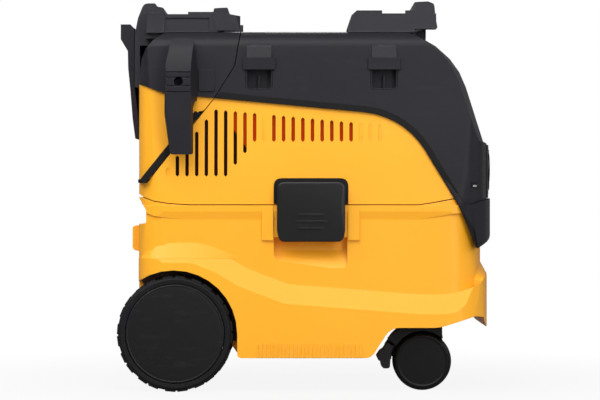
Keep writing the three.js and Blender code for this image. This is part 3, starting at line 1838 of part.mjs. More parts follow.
function rearDock() {
  const x0 = rearWallX + 9;
  const x1 = rearWallX + 94;
  const inner = dockHalf - dockWallThickness;
  const lowZ = hoodTopZ - 5;
  const sideWall = rounded(
    [
      [x0, inner],
      [x1 + 4, inner],
      [x1 + 32, inner - 66],
      [x1 + 40, inner - 66],
      [x1 + 12, dockHalf, 3],
      [x0, dockHalf, 3],
    ],
    3,
  );
  const lowWall = dockWall(sideWall, lowZ, dockTopZ - 3);
  const highWall = dockWall(
    rounded([
      [rearWallX + 66, inner],
      [x1 + 4, inner],
      [x1 + 32, inner - 66],
      [x1 + 40, inner - 66],
      [x1 + 12, dockHalf, 3],
      [rearWallX + 66, dockHalf],
    ]),
    dockTopZ - 4,
    dockTopZ,
  );
  const endBlock = dockWall(
    rectangle(x0 + 1, inner - 12, x0 + 26, dockHalf + 1.5, 2),
    lowZ,
    dockTopZ - 1,
  );
  const panelGroove = rectangle(x0 + 27, hoodTopZ - 3, x1, dockTopZ - 8);
  const groove = join(
    acrossY(panelGroove, dockHalf - 2, dockHalf + 3),
    acrossY(panelGroove, -dockHalf - 3, 2 - dockHalf),
  );
  // The horn stands behind the case and runs down the machine's back.
  const horn = acrossY(
    rounded(
      [
        [rearWallX + 28, hoodTopZ - 10],
        [rearWallX + 34, hoodTopZ + 22],
        [rearWallX + 32, hoodTopZ + hornHeight - 6, 4],
        [rearWallX + 22, hoodTopZ + hornHeight - 4],
        [rearWallX + 20.5, hoodTopZ + hornHeight, 1.5],
        [rearWallX + 5, hoodTopZ + hornHeight, 8],
        [rearWallX - 3, hoodTopZ + 17, 20],
        [rearWallX - 7, hoodTopZ - 4, 12],
        [rearWallX - 7.2, hoodTopZ - 76],
        [rearWallX - 2, hoodTopZ - 77],
        [rearWallX + 3, hoodTopZ - 40, 30],
        [rearWallX + 16, hoodTopZ - 14, 8],
      ],
      3,
    ),
    -125,
    125,
  );
  const floor = box(x0, x1 + 20, -inner - 1, inner + 1, hoodTopZ - 12, dockFloorZ);
  // The lug at the front of the floor that locates the case.
  const lug = acrossY(
    rounded([
      [x1 - 3, dockFloorZ - 2],
      [x1 + 26, dockFloorZ - 2],
      [x1 + 22, hoodTopZ + hornHeight, 2],
      [x1 + 3, hoodTopZ + hornHeight - 1, 2],
    ]),
    -56,
    56,
  );
  const seat = hoodForm(fit);
  const clearSeam = box(seamTopX - 4, frontX, -200, 200, 0, hoodTopZ + 0.6);
  const coverSpace = headForm(fit).intersect(behindSeam(0));
  // The wings' ends lean, wider below.
  const lean = acrossY(
    [
      [x1 + 60, lowZ - 30],
      [x1 + 60, dockTopZ + 5],
      [x1 + 2, dockTopZ + 5],
      [x1 + 12, hoodTopZ],
    ].map(([x, z]) => new THREE.Vector2(x, z)),
    inner - 1,
    dockHalf + 5,
  );
  const walls = cut(join(lowWall, highWall), lean, mirrored(lean));
  const body = join(walls, endBlock, horn, floor, lug);
  return cut(body, groove, seat, coverSpace, clearSeam);
}

function frontDock() {
  const x0 = frontWallX - 178;
  const x1 = frontWallX - 97;
  const inner = dockHalf - dockWallThickness;
  const lowZ = hoodTopZ - 4;
  const wallOutline = (x) =>
    rounded([
      [x0 - 9, inner - 66],
      [x0 + 2, inner - 66],
      [x0 + 12, inner],
      [x, inner],
      [x, dockHalf],
      [x0 - 9, dockHalf, 2],
    ]);
  // The rear end of each wall leans.
  const lean = acrossY(
    [
      [x0 - 40, lowZ - 30],
      [x0 - 9, lowZ - 30],
      [x0 - 9, hoodTopZ + 1],
      [x0 - 3, dockTopZ - 4.6],
      [x0 + 4.4, dockTopZ + 2.2],
      [x0 - 40, dockTopZ + 2.2],
    ].map(([x, z]) => new THREE.Vector2(x, z)),
    -dockHalf - 5,
    dockHalf + 5,
  );
  const lowWall = dockWall(wallOutline(x1), lowZ, dockTopZ - 2);
  const highRear = dockWall(wallOutline(x0 + 38), dockTopZ - 3, dockTopZ + 2);
  const highFront = dockWall(
    rectangle(x1 - 12, inner, x1, dockHalf),
    dockTopZ - 3,
    dockTopZ + 2,
  );
  const horn = acrossY(
    rounded(
      [
        [x1 - 1, hoodTopZ + 0.6],
        [x1 + 31, hoodTopZ + 0.6, 2],
        [x1 + 28, hoodTopZ + 18, 20],
        [x1 + 26.5, hoodTopZ + hornHeight - 3, 5],
        [x1 + 18, hoodTopZ + hornHeight, 4],
        [x1 - 1, hoodTopZ + hornHeight - 1, 3],
      ],
      3,
    ),
    -dockHalf,
    dockHalf,
  );
  const floor = box(x0 + 4, x1 + 2, -inner - 1, inner + 1, hoodTopZ - 12, dockFloorZ);
  // The foot under the horn fills the space over the hood's falling nose.
  const foot = acrossY(
    [
      [x1 - 30, hoodTopZ + 1],
      [x1 - 30, hoodTopZ - 8],
      [x1 - 2, hoodTopZ - 5],
      [x1 + 15, hoodTopZ + 1],
    ].map(([x, z]) => new THREE.Vector2(x, z)),
    -dockHalf + 2,
    dockHalf - 2,
  );
  const walls = cut(join(lowWall, highRear, highFront), lean);
  return cut(join(walls, horn, floor, foot), hoodForm(fit));
}

// ---------------------------------------------------------------------------
// Assembly
// ---------------------------------------------------------------------------
piece("tank_shell", tankShell(), "yellow");
piece("chin_cover", chinCover(), "black");
piece("inlet_socket", inletSocket(), "darkBlack");

const axleReach = wheelY + hubLength - wheelWidth / 2 + 3.6;
piece("rear_axle", rodY(axleRadius, wheelX, wheelRadius, -axleReach, axleReach, 20), "steel");

for (const [name, side] of [["right", -1], ["left", 1]]) {
  const hubFaceY = wheelY + hubLength - wheelWidth / 2 + fit;
  const clip = cut(
    rodY(11, wheelX, wheelRadius, hubFaceY, hubFaceY + 2, 16),
    rodY(axleRadius + fit, wheelX, wheelRadius, hubFaceY - 1, hubFaceY + 3, 16),
  );
  piece(`axle_clip_${name}`, side > 0 ? clip : mirrored(clip), "steel");
  const wheel = new THREE.Group();
  wheel.position.set(wheelX, side * wheelY, wheelRadius);
  if (side < 0) wheel.rotation.z = Math.PI;
  machine.add(wheel);
  piece(`tyre_${name}`, tyre(), "rubber", wheel);
  piece(`rim_${name}`, rim(), "black", wheel);
  piece(`wheel_cap_${name}`, wheelCap(), "black", wheel);
}

for (const [name, side, turn] of [["right", -1, 0], ["left", 1, Math.PI / 2]]) {
  const caster = new THREE.Group();
  caster.position.set(stemX, side * casterY, 0);
  caster.rotation.z = turn;
  machine.add(caster);
  piece(`caster_body_${name}`, casterBody(), "darkBlack", caster);
  piece(`caster_stem_${name}`, casterStem(), "steel", caster);
  piece(`caster_axle_${name}`, casterAxle(), "steel", caster);
  piece(`caster_wheel_a_${name}`, mirrored(casterWheel()), "black", caster);
  piece(`caster_wheel_b_${name}`, casterWheel(), "black", caster);
  piece(`brake_pedal_${name}`, brakePedal(), "darkBlack", caster);
}

piece("tank_seal", tankSeal(), "rubber");
piece("base_plate", basePlate(), "darkBlack");
piece("head_shell", headShell(), "yellow");
piece("hood", hood(), "black");
piece("control_panel", controlPanel(), "darkBlack");
piece("mode_knob", knob(...knobPlaces[0]), "black");
piece("suction_knob", knob(...knobPlaces[1]), "black");
piece("tool_socket", toolSocket(), "darkBlack");
piece("socket_flap", socketFlap(), "darkBlack");
piece("control_board", controlBoard(), "board");
piece("level_probe", levelProbe(), "steel");
piece("fan_housing", fanHousing(), "darkBlack");
piece("motor", motor(), "steel");
piece("motor_yoke", motorYoke(), "darkBlack");
piece("cord_gland", cordGland(), "darkBlack");
piece("cover_lock", coverLock(), "black");

for (const [name, side] of [["right", -1], ["left", 1]]) {
  const turned = (body) => (side > 0 ? body : mirrored(body));
  piece(`latch_${name}`, turned(latch()), "darkBlack");
  const pin = rodX(pinRadius, latchPivotY, latchPivotZ, latchX - 36, latchX + 36, 14);
  piece(`latch_pin_${name}`, turned(pin), "steel");
  piece(`strap_loop_rear_${name}`, turned(strapLoop(loopPlaces[0])), "black");
  piece(`strap_loop_front_${name}`, turned(strapLoop(loopPlaces[1])), "black");
  piece(`filter_${name}`, filter(side), "paper");
  piece(`side_hook_${name}`, turned(sideHook()), "black");
  piece(`hook_screw_${name}`, turned(hookScrew()), "steel");
}

piece("rear_cover", rearCover(), "yellow");
piece("rear_hood", rearHood(), "black");
piece("cover_hinge_pin", coverHingePin(), "steel");
piece("rear_hook", rearHook(), "black");
piece("rear_dock", rearDock(), "black");
piece("front_dock", frontDock(), "black");

export default machine;
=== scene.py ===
# %% [markdown]
# # A wheeled shop vacuum, dressed for its picture
# The machine arrives as separate moulded parts that already have their true
# sizes and joints. Here each part gets its finish, and the round or soft-edged
# parts get a finer model in place of the faceted one.

import json
import math

import bmesh
import bpy
from mathutils import Matrix, Vector
from mathutils.bvhtree import BVHTree

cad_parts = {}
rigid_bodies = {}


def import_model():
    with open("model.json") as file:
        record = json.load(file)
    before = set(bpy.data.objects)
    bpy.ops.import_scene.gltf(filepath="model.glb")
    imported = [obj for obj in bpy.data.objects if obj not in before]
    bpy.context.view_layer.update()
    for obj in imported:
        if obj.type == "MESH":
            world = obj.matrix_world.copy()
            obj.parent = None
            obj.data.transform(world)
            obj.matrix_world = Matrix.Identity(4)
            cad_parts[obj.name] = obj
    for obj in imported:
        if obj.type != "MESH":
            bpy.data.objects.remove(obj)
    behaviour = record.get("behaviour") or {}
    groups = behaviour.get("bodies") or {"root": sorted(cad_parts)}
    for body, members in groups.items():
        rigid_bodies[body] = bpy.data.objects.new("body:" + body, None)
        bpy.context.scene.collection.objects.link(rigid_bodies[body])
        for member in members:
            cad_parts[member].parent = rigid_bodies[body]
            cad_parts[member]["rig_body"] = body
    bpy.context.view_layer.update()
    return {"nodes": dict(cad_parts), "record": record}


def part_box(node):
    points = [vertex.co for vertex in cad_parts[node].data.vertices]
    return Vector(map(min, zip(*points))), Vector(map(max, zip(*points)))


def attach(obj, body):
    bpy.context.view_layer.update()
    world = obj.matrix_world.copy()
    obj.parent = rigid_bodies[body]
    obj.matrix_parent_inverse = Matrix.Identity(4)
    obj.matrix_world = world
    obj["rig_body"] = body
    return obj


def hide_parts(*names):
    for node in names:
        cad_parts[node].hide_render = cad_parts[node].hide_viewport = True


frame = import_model()
MM = 0.001
SIDES = ((-1, "right"), (1, "left"))  # the way along Y, and the word in the names

# %% [markdown]
# ## The camera
# A long lens far away keeps the side of the machine square, with hardly any
# perspective. It looks level along +Y, from a little behind the middle.

# %% Camera
def new_object(name, data):
    made = bpy.data.objects.new(name, data)
    bpy.context.scene.collection.objects.link(made)
    return made


camera_data = bpy.data.cameras.new("side_camera")
camera_data.sensor_width = 36
camera_data.lens = 142.86
camera_data.clip_end = 20
camera = new_object("side_camera", camera_data)
camera.location = (-10.6 * MM, -3333 * MM, 254 * MM)
camera.rotation_euler = (math.radians(90), 0, 0)
bpy.context.scene.camera = camera
bpy.context.scene.view_settings.view_transform = "Standard"
print("camera stands off by", round(abs(camera.location.y), 2), "m")

# %% [markdown]
# ## Node helpers
# Materials are small networks of nodes. These helpers place a node, set its
# sockets by name, and join two sockets, so that a network reads like a recipe.

# %% Node helpers
def add_node(tree, kind, at=(0, 0), **settings):
    """Places a node and sets its sockets or properties by name."""
    made = tree.nodes.new(kind)
    made.location = at
    for key, value in settings.items():
        if key in made.inputs:
            made.inputs[key].default_value = value
        else:
            setattr(made, key, value)
    return made


def stretch(tree, at, source=(0, 1), target=(0, 1)):
    """A map range node: one span of values is stretched over another."""
    made = add_node(tree, "ShaderNodeMapRange", at)
    for label, value in zip(("From Min", "From Max", "To Min", "To Max"), (*source, *target)):
        made.inputs[label].default_value = value
    return made


def mix_colours(tree, at, **colours):
    """A mix of the colours A and B. One that isn't given comes by a link."""
    made = add_node(tree, "ShaderNodeMix", at, data_type="RGBA")
    for label, colour in colours.items():
        made.inputs[label].default_value = (*colour, 1)
    return made


def new_group(name, inputs, outputs):
    """A node group whose inputs and outputs are plain numbers."""
    group = bpy.data.node_groups.new(name, "ShaderNodeTree")
    number = "NodeSocketFloat"
    for label, value in inputs.items():
        socket = group.interface.new_socket(label, in_out="INPUT", socket_type=number)
        socket.default_value = value
    for label in outputs:
        group.interface.new_socket(label, in_out="OUTPUT", socket_type=number)
    start = add_node(group, "NodeGroupInput", (-900, 0))
    end = add_node(group, "NodeGroupOutput", (900, 0))
    return group, start, end


# %% [markdown]
# ## Worn edges
# Where plastic is handled, its outer corners lose their texture first and turn
# a little paler. A bevel node feels how near a corner is: its rounded normal
# differs from the true normal there. The difference, broken up by noise, is a
# mask that any material can use.

# %% Edge wear group
edge_wear, start, end = new_group(
    "edge_wear", {"Reach": 0.0012, "Breakup Scale": 90.0, "Amount": 0.6}, ["Mask"]
)
link = edge_wear.links.new
place = add_node(edge_wear, "ShaderNodeTexCoord", (-900, -250))
soft = add_node(edge_wear, "ShaderNodeBevel", (-650, 150), samples=4)
true_normal = add_node(edge_wear, "ShaderNodeNewGeometry", (-650, -20))
same = add_node(edge_wear, "ShaderNodeVectorMath", (-430, 80), operation="DOT_PRODUCT")
span = stretch(edge_wear, (-230, 80), source=(0.99, 0.86))
breakup = add_node(edge_wear, "ShaderNodeTexNoise", (-430, -250), Detail=5.0, Roughness=0.65)
patches = stretch(edge_wear, (-230, -250), source=(0.42, 0.62))
both = add_node(edge_wear, "ShaderNodeMath", (0, 0), operation="MULTIPLY")
scaled = add_node(edge_wear, "ShaderNodeMath", (200, 0), operation="MULTIPLY", use_clamp=True)
link(start.outputs["Reach"], soft.inputs["Radius"])
link(soft.outputs["Normal"], same.inputs[0])
link(true_normal.outputs["Normal"], same.inputs[1])
link(same.outputs["Value"], span.inputs["Value"])
link(place.outputs["Object"], breakup.inputs["Vector"])
link(start.outputs["Breakup Scale"], breakup.inputs["Scale"])
link(breakup.outputs["Fac"], patches.inputs["Value"])
link(span.outputs["Result"], both.inputs[0])
link(patches.outputs["Result"], both.inputs[1])
link(both.outputs["Value"], scaled.inputs[0])
link(start.outputs["Amount"], scaled.inputs[1])
link(scaled.outputs["Value"], end.inputs["Mask"])
print("edge wear group:", len(edge_wear.nodes), "nodes")

# %% [markdown]
# ## Moulded grain
# A satin moulding is not smooth: the mould is spark-eroded, so the skin has a
# fine even pebble about half a millimetre across, and over a hand's breadth the
# colour drifts a little. One group gives both, as a height for a bump node and
# as a drift value, and adds a mask of level scuffs.

# %% Moulded grain group
moulded_grain, start, end = new_group(
    "moulded_grain", {"Grain Scale": 1800.0, "Drift Scale": 6.0}, ["Height", "Drift", "Scuff"]
)
link = moulded_grain.links.new
place = add_node(moulded_grain, "ShaderNodeTexCoord", (-900, 0))
pebble = add_node(moulded_grain, "ShaderNodeTexNoise", (-400, 200), Detail=3.0, Roughness=0.6)
drift = add_node(moulded_grain, "ShaderNodeTexNoise", (-400, -50), Detail=2.0, Roughness=0.5)
squeeze = add_node(moulded_grain, "ShaderNodeMapping", (-650, -300))
squeeze.inputs["Scale"].default_value = (1.0, 1.0, 5.0)
streaks = add_node(moulded_grain, "ShaderNodeTexNoise", (-400, -300), Scale=26.0, Detail=6.0)
streaks.inputs["Roughness"].default_value = 0.7
thin = stretch(moulded_grain, (-150, -300), source=(0.55, 0.75))
for noise, scale in ((pebble, "Grain Scale"), (drift, "Drift Scale")):
    link(place.outputs["Object"], noise.inputs["Vector"])
    link(start.outputs[scale], noise.inputs["Scale"])
link(place.outputs["Object"], squeeze.inputs["Vector"])
link(squeeze.outputs["Vector"], streaks.inputs["Vector"])
link(streaks.outputs["Fac"], thin.inputs["Value"])
link(pebble.outputs["Fac"], end.inputs["Height"])
link(drift.outputs["Fac"], end.inputs["Drift"])
link(thin.outputs["Result"], end.inputs["Scuff"])
print("grain group:", len(moulded_grain.nodes), "nodes")

# %% [markdown]
# ## A moulded plastic
# Yellow shells, black hood and dark trim are the same recipe with other values:
# two close colours mixed by the drift, a paler colour on worn edges and in faint
# scuffs, roughness that the scuffs lift a little, and a bump from the grain on
# top of slightly rounded corners.

# %% Plastic recipe
SMOOTHER, ROUGHER = 0.04, 0.1  # how far clean skin and scuffs shift the roughness


def plastic(
    name, deep, light, worn, roughness,
    grain=1800.0, bump=0.05, wear=0.5, corner=0.0008, shine=0.5, scuff=0.05,
):
    material = bpy.data.materials.new(name)
    material.use_nodes = True
    tree = material.node_tree
    link = tree.links.new
    shader = tree.nodes["Principled BSDF"]
    shader.inputs["Specular IOR Level"].default_value = shine
    skin = add_node(tree, "ShaderNodeGroup", (-900, 0), node_tree=moulded_grain)
    skin.inputs["Grain Scale"].default_value = grain
    edge = add_node(tree, "ShaderNodeGroup", (-900, 300), node_tree=edge_wear)
    edge.inputs["Amount"].default_value = wear
    tone = mix_colours(tree, (-600, 200), A=deep, B=light)
    rubbed = mix_colours(tree, (-350, 250), B=worn)
    gloss = stretch(tree, (-600, -50), target=(roughness - SMOOTHER, roughness + ROUGHER))
    corners = add_node(tree, "ShaderNodeBevel", (-600, -350), samples=4, Radius=corner)
    dents = add_node(tree, "ShaderNodeBump", (-350, -250), Strength=bump, Distance=0.0004)
    faint = add_node(tree, "ShaderNodeMath", (-600, 450), operation="MULTIPLY")
    faint.inputs[1].default_value = scuff
    worn_here = add_node(tree, "ShaderNodeMath", (-480, 350), operation="ADD", use_clamp=True)
    link(skin.outputs["Drift"], tone.inputs["Factor"])
    link(tone.outputs["Result"], rubbed.inputs["A"])
    link(skin.outputs["Scuff"], faint.inputs[0])
    link(edge.outputs["Mask"], worn_here.inputs[0])
    link(faint.outputs["Value"], worn_here.inputs[1])
    link(worn_here.outputs["Value"], rubbed.inputs["Factor"])
    link(rubbed.outputs["Result"], shader.inputs["Base Color"])
    link(skin.outputs["Scuff"], gloss.inputs["Value"])
    link(gloss.outputs["Result"], shader.inputs["Roughness"])
    link(skin.outputs["Height"], dents.inputs["Height"])
    link(corners.outputs["Normal"], dents.inputs["Normal"])
    link(dents.outputs["Normal"], shader.inputs["Normal"])
    print("plastic:", name)
    return material


def srgb(r, g, b):
    """A colour picked from 0 to 255, as the linear values that nodes take."""
    return tuple(((v / 255 + 0.055) / 1.055) ** 2.4 if v > 10 else v / 3294.6 for v in (r, g, b))


yellow = plastic(
    "yellow_shell", srgb(251, 171, 32), srgb(253, 180, 44), srgb(255, 204, 98), 0.42, shine=0.35
)
black = plastic(
    "black_shell", srgb(27, 27, 31), srgb(36, 36, 42), srgb(68, 68, 74), 0.5, shine=0.2, scuff=0.12
)
trim = plastic(
    "dark_trim", srgb(11, 11, 12), srgb(16, 16, 18), srgb(50, 50, 52), 0.42, shine=0.35
)
rubber = plastic(
    "wheel_rubber", srgb(9, 10, 12), srgb(15, 16, 19), srgb(46, 48, 52), 0.6, 900.0, 0.12,
    shine=0.22,
)
wheel_black = plastic(
    "wheel_black", srgb(12, 12, 14), srgb(18, 18, 21), srgb(56, 56, 60), 0.48, shine=0.26, scuff=0.22
)
caster_black = plastic(
    "caster_black", srgb(4, 4, 5), srgb(7, 7, 8), srgb(36, 36, 38), 0.45, shine=0.22
)
# A deeper black. On the hood bands, the chin's chamfer and the latch frames it is painted shade. The
# rockers and hinge strips have it as their own colour, and it also makes the strip on the cover's
# seam.
deep_black_and_painted_shade = plastic("deep_black_and_painted_shade", srgb(9, 9, 10), srgb(13, 13, 14), srgb(34, 34, 36), 0.6, shine=0.2)
dock_black = plastic(
    "dock_black", srgb(40, 40, 44), srgb(50, 50, 55), srgb(80, 80, 86), 0.45, shine=0.25
)

# %% [markdown]
# ## Steel, paper and board
# Axles, pins and screws are steel. A fine noise varies its shade and its gloss,
# as plating and handling do. The filter's paper and the circuit board take the
# plastic recipe with their own colours.

# %% Steel, paper and board
def plain_metal(name, colour, roughness):
    material = bpy.data.materials.new(name)
    material.use_nodes = True
    tree = material.node_tree
    shader = tree.nodes["Principled BSDF"]
    shader.inputs["Metallic"].default_value = 1.0
    place = add_node(tree, "ShaderNodeTexCoord", (-900, 0))
    brush = add_node(tree, "ShaderNodeTexNoise", (-600, 0), Scale=500.0, Detail=4.0)
    tone = mix_colours(tree, (-300, 150), A=[c * 0.85 for c in colour], B=colour)
    gloss = stretch(tree, (-300, -100), target=(roughness, roughness + 0.2))
    tree.links.new(place.outputs["Object"], brush.inputs["Vector"])
    tree.links.new(brush.outputs["Fac"], tone.inputs["Factor"])
    tree.links.new(brush.outputs["Fac"], gloss.inputs["Value"])
    tree.links.new(tone.outputs["Result"], shader.inputs["Base Color"])
    tree.links.new(gloss.outputs["Result"], shader.inputs["Roughness"])
    return material


steel = plain_metal("zinc_steel", (0.6, 0.61, 0.63), 0.25)
paper = plastic("filter_paper", srgb(208, 200, 184), srgb(224, 216, 200), srgb(230, 224, 210), 0.9)
blackened = plain_metal("blackened_steel", (0.035, 0.035, 0.04), 0.35)
board = plastic("board_green", srgb(24, 74, 44), srgb(34, 94, 56), srgb(60, 120, 80), 0.4)

finish_of_slot = {
    "yellow_plastic": yellow,
    "black_plastic": black,
    "dark_plastic": trim,
    "tyre_rubber": rubber,
    "steel": steel,
    "filter_paper": paper,
    "circuit_board": board,
}
print("finishes by slot:", len(finish_of_slot))

# %% [markdown]
# ## Smooth skins
# The parts come as loose triangles. For all but the tyres, hub covers and
# caster wheels a copy is merged, flat faces are joined, and shading is smoothed
# except at real corners. The copy stands in for the part.

# %% Smooth copies of the parts
slot_of = {row["node"]: row["material_slot"] for row in frame["record"]["subparts"]}
# Parts whose finish differs a little from the others of their slot.
finish_of_node = {
    "rear_dock": dock_black,
    "front_dock": dock_black,
    "hook_screw_right": blackened,
    "hook_screw_left": blackened,
    "caster_body_right": caster_black,
    "caster_body_left": caster_black,
    "rim_right": wheel_black,
    "rim_left": wheel_black,
}
MERGE_WITHIN, FLAT_WITHIN = 0.00001, 0.4  # metres and degrees
CORNER = 32  # degrees: a sharper edge than this stays crisp
done = set()


def link_piece(name, bm, material, body):
    """Makes an object of a mesh, on the body that it rides on."""
    mesh = bpy.data.meshes.new(name)
    bm.to_mesh(mesh)
    bm.free()
    mesh.materials.append(material)
    made = new_object(name, mesh)
    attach(made, body)
    return made


def merged_copy(node):
    bm = bmesh.new()
    bm.from_mesh(frame["nodes"][node].data)
    bmesh.ops.remove_doubles(bm, verts=bm.verts, dist=MERGE_WITHIN)
    bmesh.ops.dissolve_limit(
        bm, angle_limit=math.radians(FLAT_WITHIN), verts=bm.verts, edges=bm.edges,
        delimit={"NORMAL"},
    )
    return bm


def shade(bm, corner=CORNER):
    for face in bm.faces:
        face.smooth = True
    for edge in bm.edges:
        if len(edge.link_faces) != 2:
            continue
        first, second = edge.link_faces
        bent = edge.calc_face_angle(0) > math.radians(corner)
        edge.smooth = not bent and first.material_index == second.material_index


def stand_in(node, bm, corner=CORNER, finish=None):
    """Puts a finished mesh in a part's place, on the same body."""
    shade(bm, corner)
    finish = finish or finish_of_node.get(node) or finish_of_slot[slot_of[node]]
    made = link_piece(node + "_skin", bm, finish, frame["nodes"][node]["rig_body"])
    even = made.modifiers.new("even_normals", "WEIGHTED_NORMAL")
    even.keep_sharp = True
    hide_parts(node)
    done.add(node)
    return made


# %% [markdown]
# ## Turned parts
# Tyres, hub covers and caster wheels are turned shapes. Half of the section is
# drawn as a chain of corners, each corner is rounded with a vertex bevel, and the
# chain is spun once round the axle. A chain that starts and ends on the axle
# gives a solid disc, a closed one gives a ring.

# %% Lathe
def lathe(section, steps=96):
    """Section corners are (radius, height, rounding) in millimetres."""
    bm = bmesh.new()
    corners = [bm.verts.new((radius * MM, 0, height * MM)) for radius, height, _ in section]
    chain = list(zip(corners, corners[1:]))
    if section[0][0] > 0:
        chain.append((corners[-1], corners[0]))
    for pair in chain:
        bm.edges.new(pair)
    for corner, (_, _, rounding) in zip(corners, section):
        if rounding:
            bmesh.ops.bevel(
                bm, geom=[corner], offset=rounding * MM, segments=4, profile=0.5,
                affect="VERTICES", material=-1,
            )
    bmesh.ops.spin(
        bm, geom=bm.verts[:] + bm.edges[:], cent=(0, 0, 0), axis=(0, 0, 1),
        angle=2 * math.pi, steps=steps, use_merge=True, dvec=(0, 0, 0),
    )
    bmesh.ops.remove_doubles(bm, verts=bm.verts, dist=0.000001)
    bmesh.ops.recalc_face_normals(bm, faces=bm.faces)
    return bm


def middle(node):
    """The middle of a part's box."""
    low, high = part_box(node)
    return (low + high) / 2


def aim(bm, outward, at):
    """Turns the lathe's axis to point outward and moves it into place."""
    turn = Vector((0, 0, 1)).rotation_difference(Vector(outward)).to_matrix().to_4x4()
    bmesh.ops.transform(bm, matrix=Matrix.Translation(at) @ turn, verts=bm.verts)


# %% [markdown]
# ## Tyres
# A plain rubber ring with rounded shoulders carries two rows of low tread
# blocks. The rows are half a step apart, so from the side the edge looks
# uneven, as on the real wheel. One block is a bevelled bar, copied round.

# %% Tyres
TREAD_BLOCKS, TREAD_ROWS, TREAD_UNEVEN = 24, (-8.6, 8.6), 0.18
BLOCK_SIZE, BLOCK_BEVEL, BLOCK_OUT = (3.4, 14.0, 15.4), 0.7, 75.1
ROUND_CORNER = 40  # degrees
tyre_section = [
    (66, -18.2, 0.8), (72.6, -18.8, 1.6), (75.2, -15.5, 1.6),
    (75.2, 15.5, 1.6), (72.6, 18.8, 1.6), (66, 18.2, 0.8),
]


def bevelled_block(bm, size, bevel, segments):
    """Adds a box with bevelled edges round the origin and returns its vertices."""
    made = bmesh.ops.create_cube(bm, size=1)["verts"]
    scale = Matrix.Diagonal((*[v * MM for v in size], 1))
    bmesh.ops.transform(bm, matrix=scale, verts=made)
    edges = list(dict.fromkeys(edge for vert in made for edge in vert.link_edges))
    strips = bmesh.ops.bevel(
        bm, geom=edges, offset=bevel * MM, segments=segments, profile=0.5, affect="EDGES",
        material=-1,
    )["faces"]
    return list(dict.fromkeys(vert for face in strips for vert in face.verts))


def tread_block(bm, angle, height):
    block = bevelled_block(bm, BLOCK_SIZE, BLOCK_BEVEL, 1)
    out = Matrix.Translation((BLOCK_OUT * MM, 0, height * MM))
    bmesh.ops.transform(bm, matrix=Matrix.Rotation(angle, 4, "Z") @ out, verts=block)


for side, word in SIDES:
    bm = lathe(tyre_section, 120)
    for row, height in enumerate(TREAD_ROWS):
        for index in range(TREAD_BLOCKS):
            step = (index + row / 2 + TREAD_UNEVEN * (index % 2)) / TREAD_BLOCKS
            tread_block(bm, 2 * math.pi * step, height)
    aim(bm, (0, side, 0), middle("tyre_" + word))
    tyre = stand_in("tyre_" + word, bm, ROUND_CORNER)
print("tyre faces:", len(tyre.data.polygons))

# %% [markdown]
# ## Hub covers and caster wheels
# The hub cover is a nearly flat disc with a thin raised rim and a groove inside
# it. A caster wheel has a broad rounded edge, which is what catches the light,
# and a face that sinks a little.

# %% Discs
DISC_CORNER = 50  # degrees
cover_section = [
    (0, -4.4, 0), (61.5, -4.4, 0.4), (61.5, -0.6, 0), (65.6, -0.6, 0.3),
    (65.6, 2.4, 0.7), (64.0, 3.6, 0.7), (62.7, 2.9, 0.5), (60, 3.2, 2), (0, 4.5, 0),
]
caster_section = [
    (0, 5.2, 0), (4.3, 5.2, 0), (4.3, -9.4, 0.3), (37, -9.4, 1.4), (38.9, -7.2, 1.4),
    (38.9, 3.2, 3.2), (36.2, 8.4, 2.6), (32.6, 9.2, 1.2), (31.4, 8.2, 0.6), (0, 8.8, 0),
]
for side, word in SIDES:
    bm = lathe(cover_section, 120)
    aim(bm, (0, side, 0), middle("wheel_cap_" + word))
    stand_in("wheel_cap_" + word, bm, DISC_CORNER, wheel_black)
    axle = Vector((1, 0, 0)) if word == "left" else Vector((0, 1, 0))
    for letter in "ab":
        node = "caster_wheel_" + letter + "_" + word
        away = middle(node) - middle("caster_stem_" + word)
        outward = axle if away.dot(axle) > 0 else -axle
        bm = lathe(caster_section, 72)
        aim(bm, outward, middle(node))
        stand_in(node, bm, DISC_CORNER, caster_black)
print("discs made:", sum(node.startswith(("wheel_cap", "caster_wheel")) for node in done))

# %% [markdown]
# ## The lip of the chin
# The hood ends in a broad band that is painted dark as shade, and the chin below
# carries it on as a chamfer. On the chin all faces except those of the lower rim
# are inset, which draws a line beside the rim and changes nothing elsewhere. Then
# the rim's outer vertices are pushed inwards, and the strip between becomes the
# chamfer, which takes a deeper black: painted shade on a real chamfer.

# %% Chamfered lips
FACES_DOWN, FACES_BACK = -0.1, -0.03
LEAST_OUT, MOST_OUT, SKIN_OUT = -0.1, 0.95, 0.4
LIP_FROM_MIDDLE, LIP_BELOW = 0.14, 0.395  # metres
LIP_WIDE, LIP_DEEP = 8, 2


def outward_of(vert):
    return Vector((vert.co.x, vert.co.y, 0)).normalized()


def rim_faces(bm):
    """The narrow faces under the lower edge: they face down and back."""
    rim = []
    for face in bm.faces:
        at = face.calc_center_median()
        out = face.normal.y * math.copysign(1, at.y)
        down_and_back = face.normal.z < FACES_DOWN and face.normal.x < FACES_BACK
        in_place = abs(at.y) > LIP_FROM_MIDDLE and at.z < LIP_BELOW
        if down_and_back and LEAST_OUT < out < MOST_OUT and in_place:
            rim.append(face)
    return rim


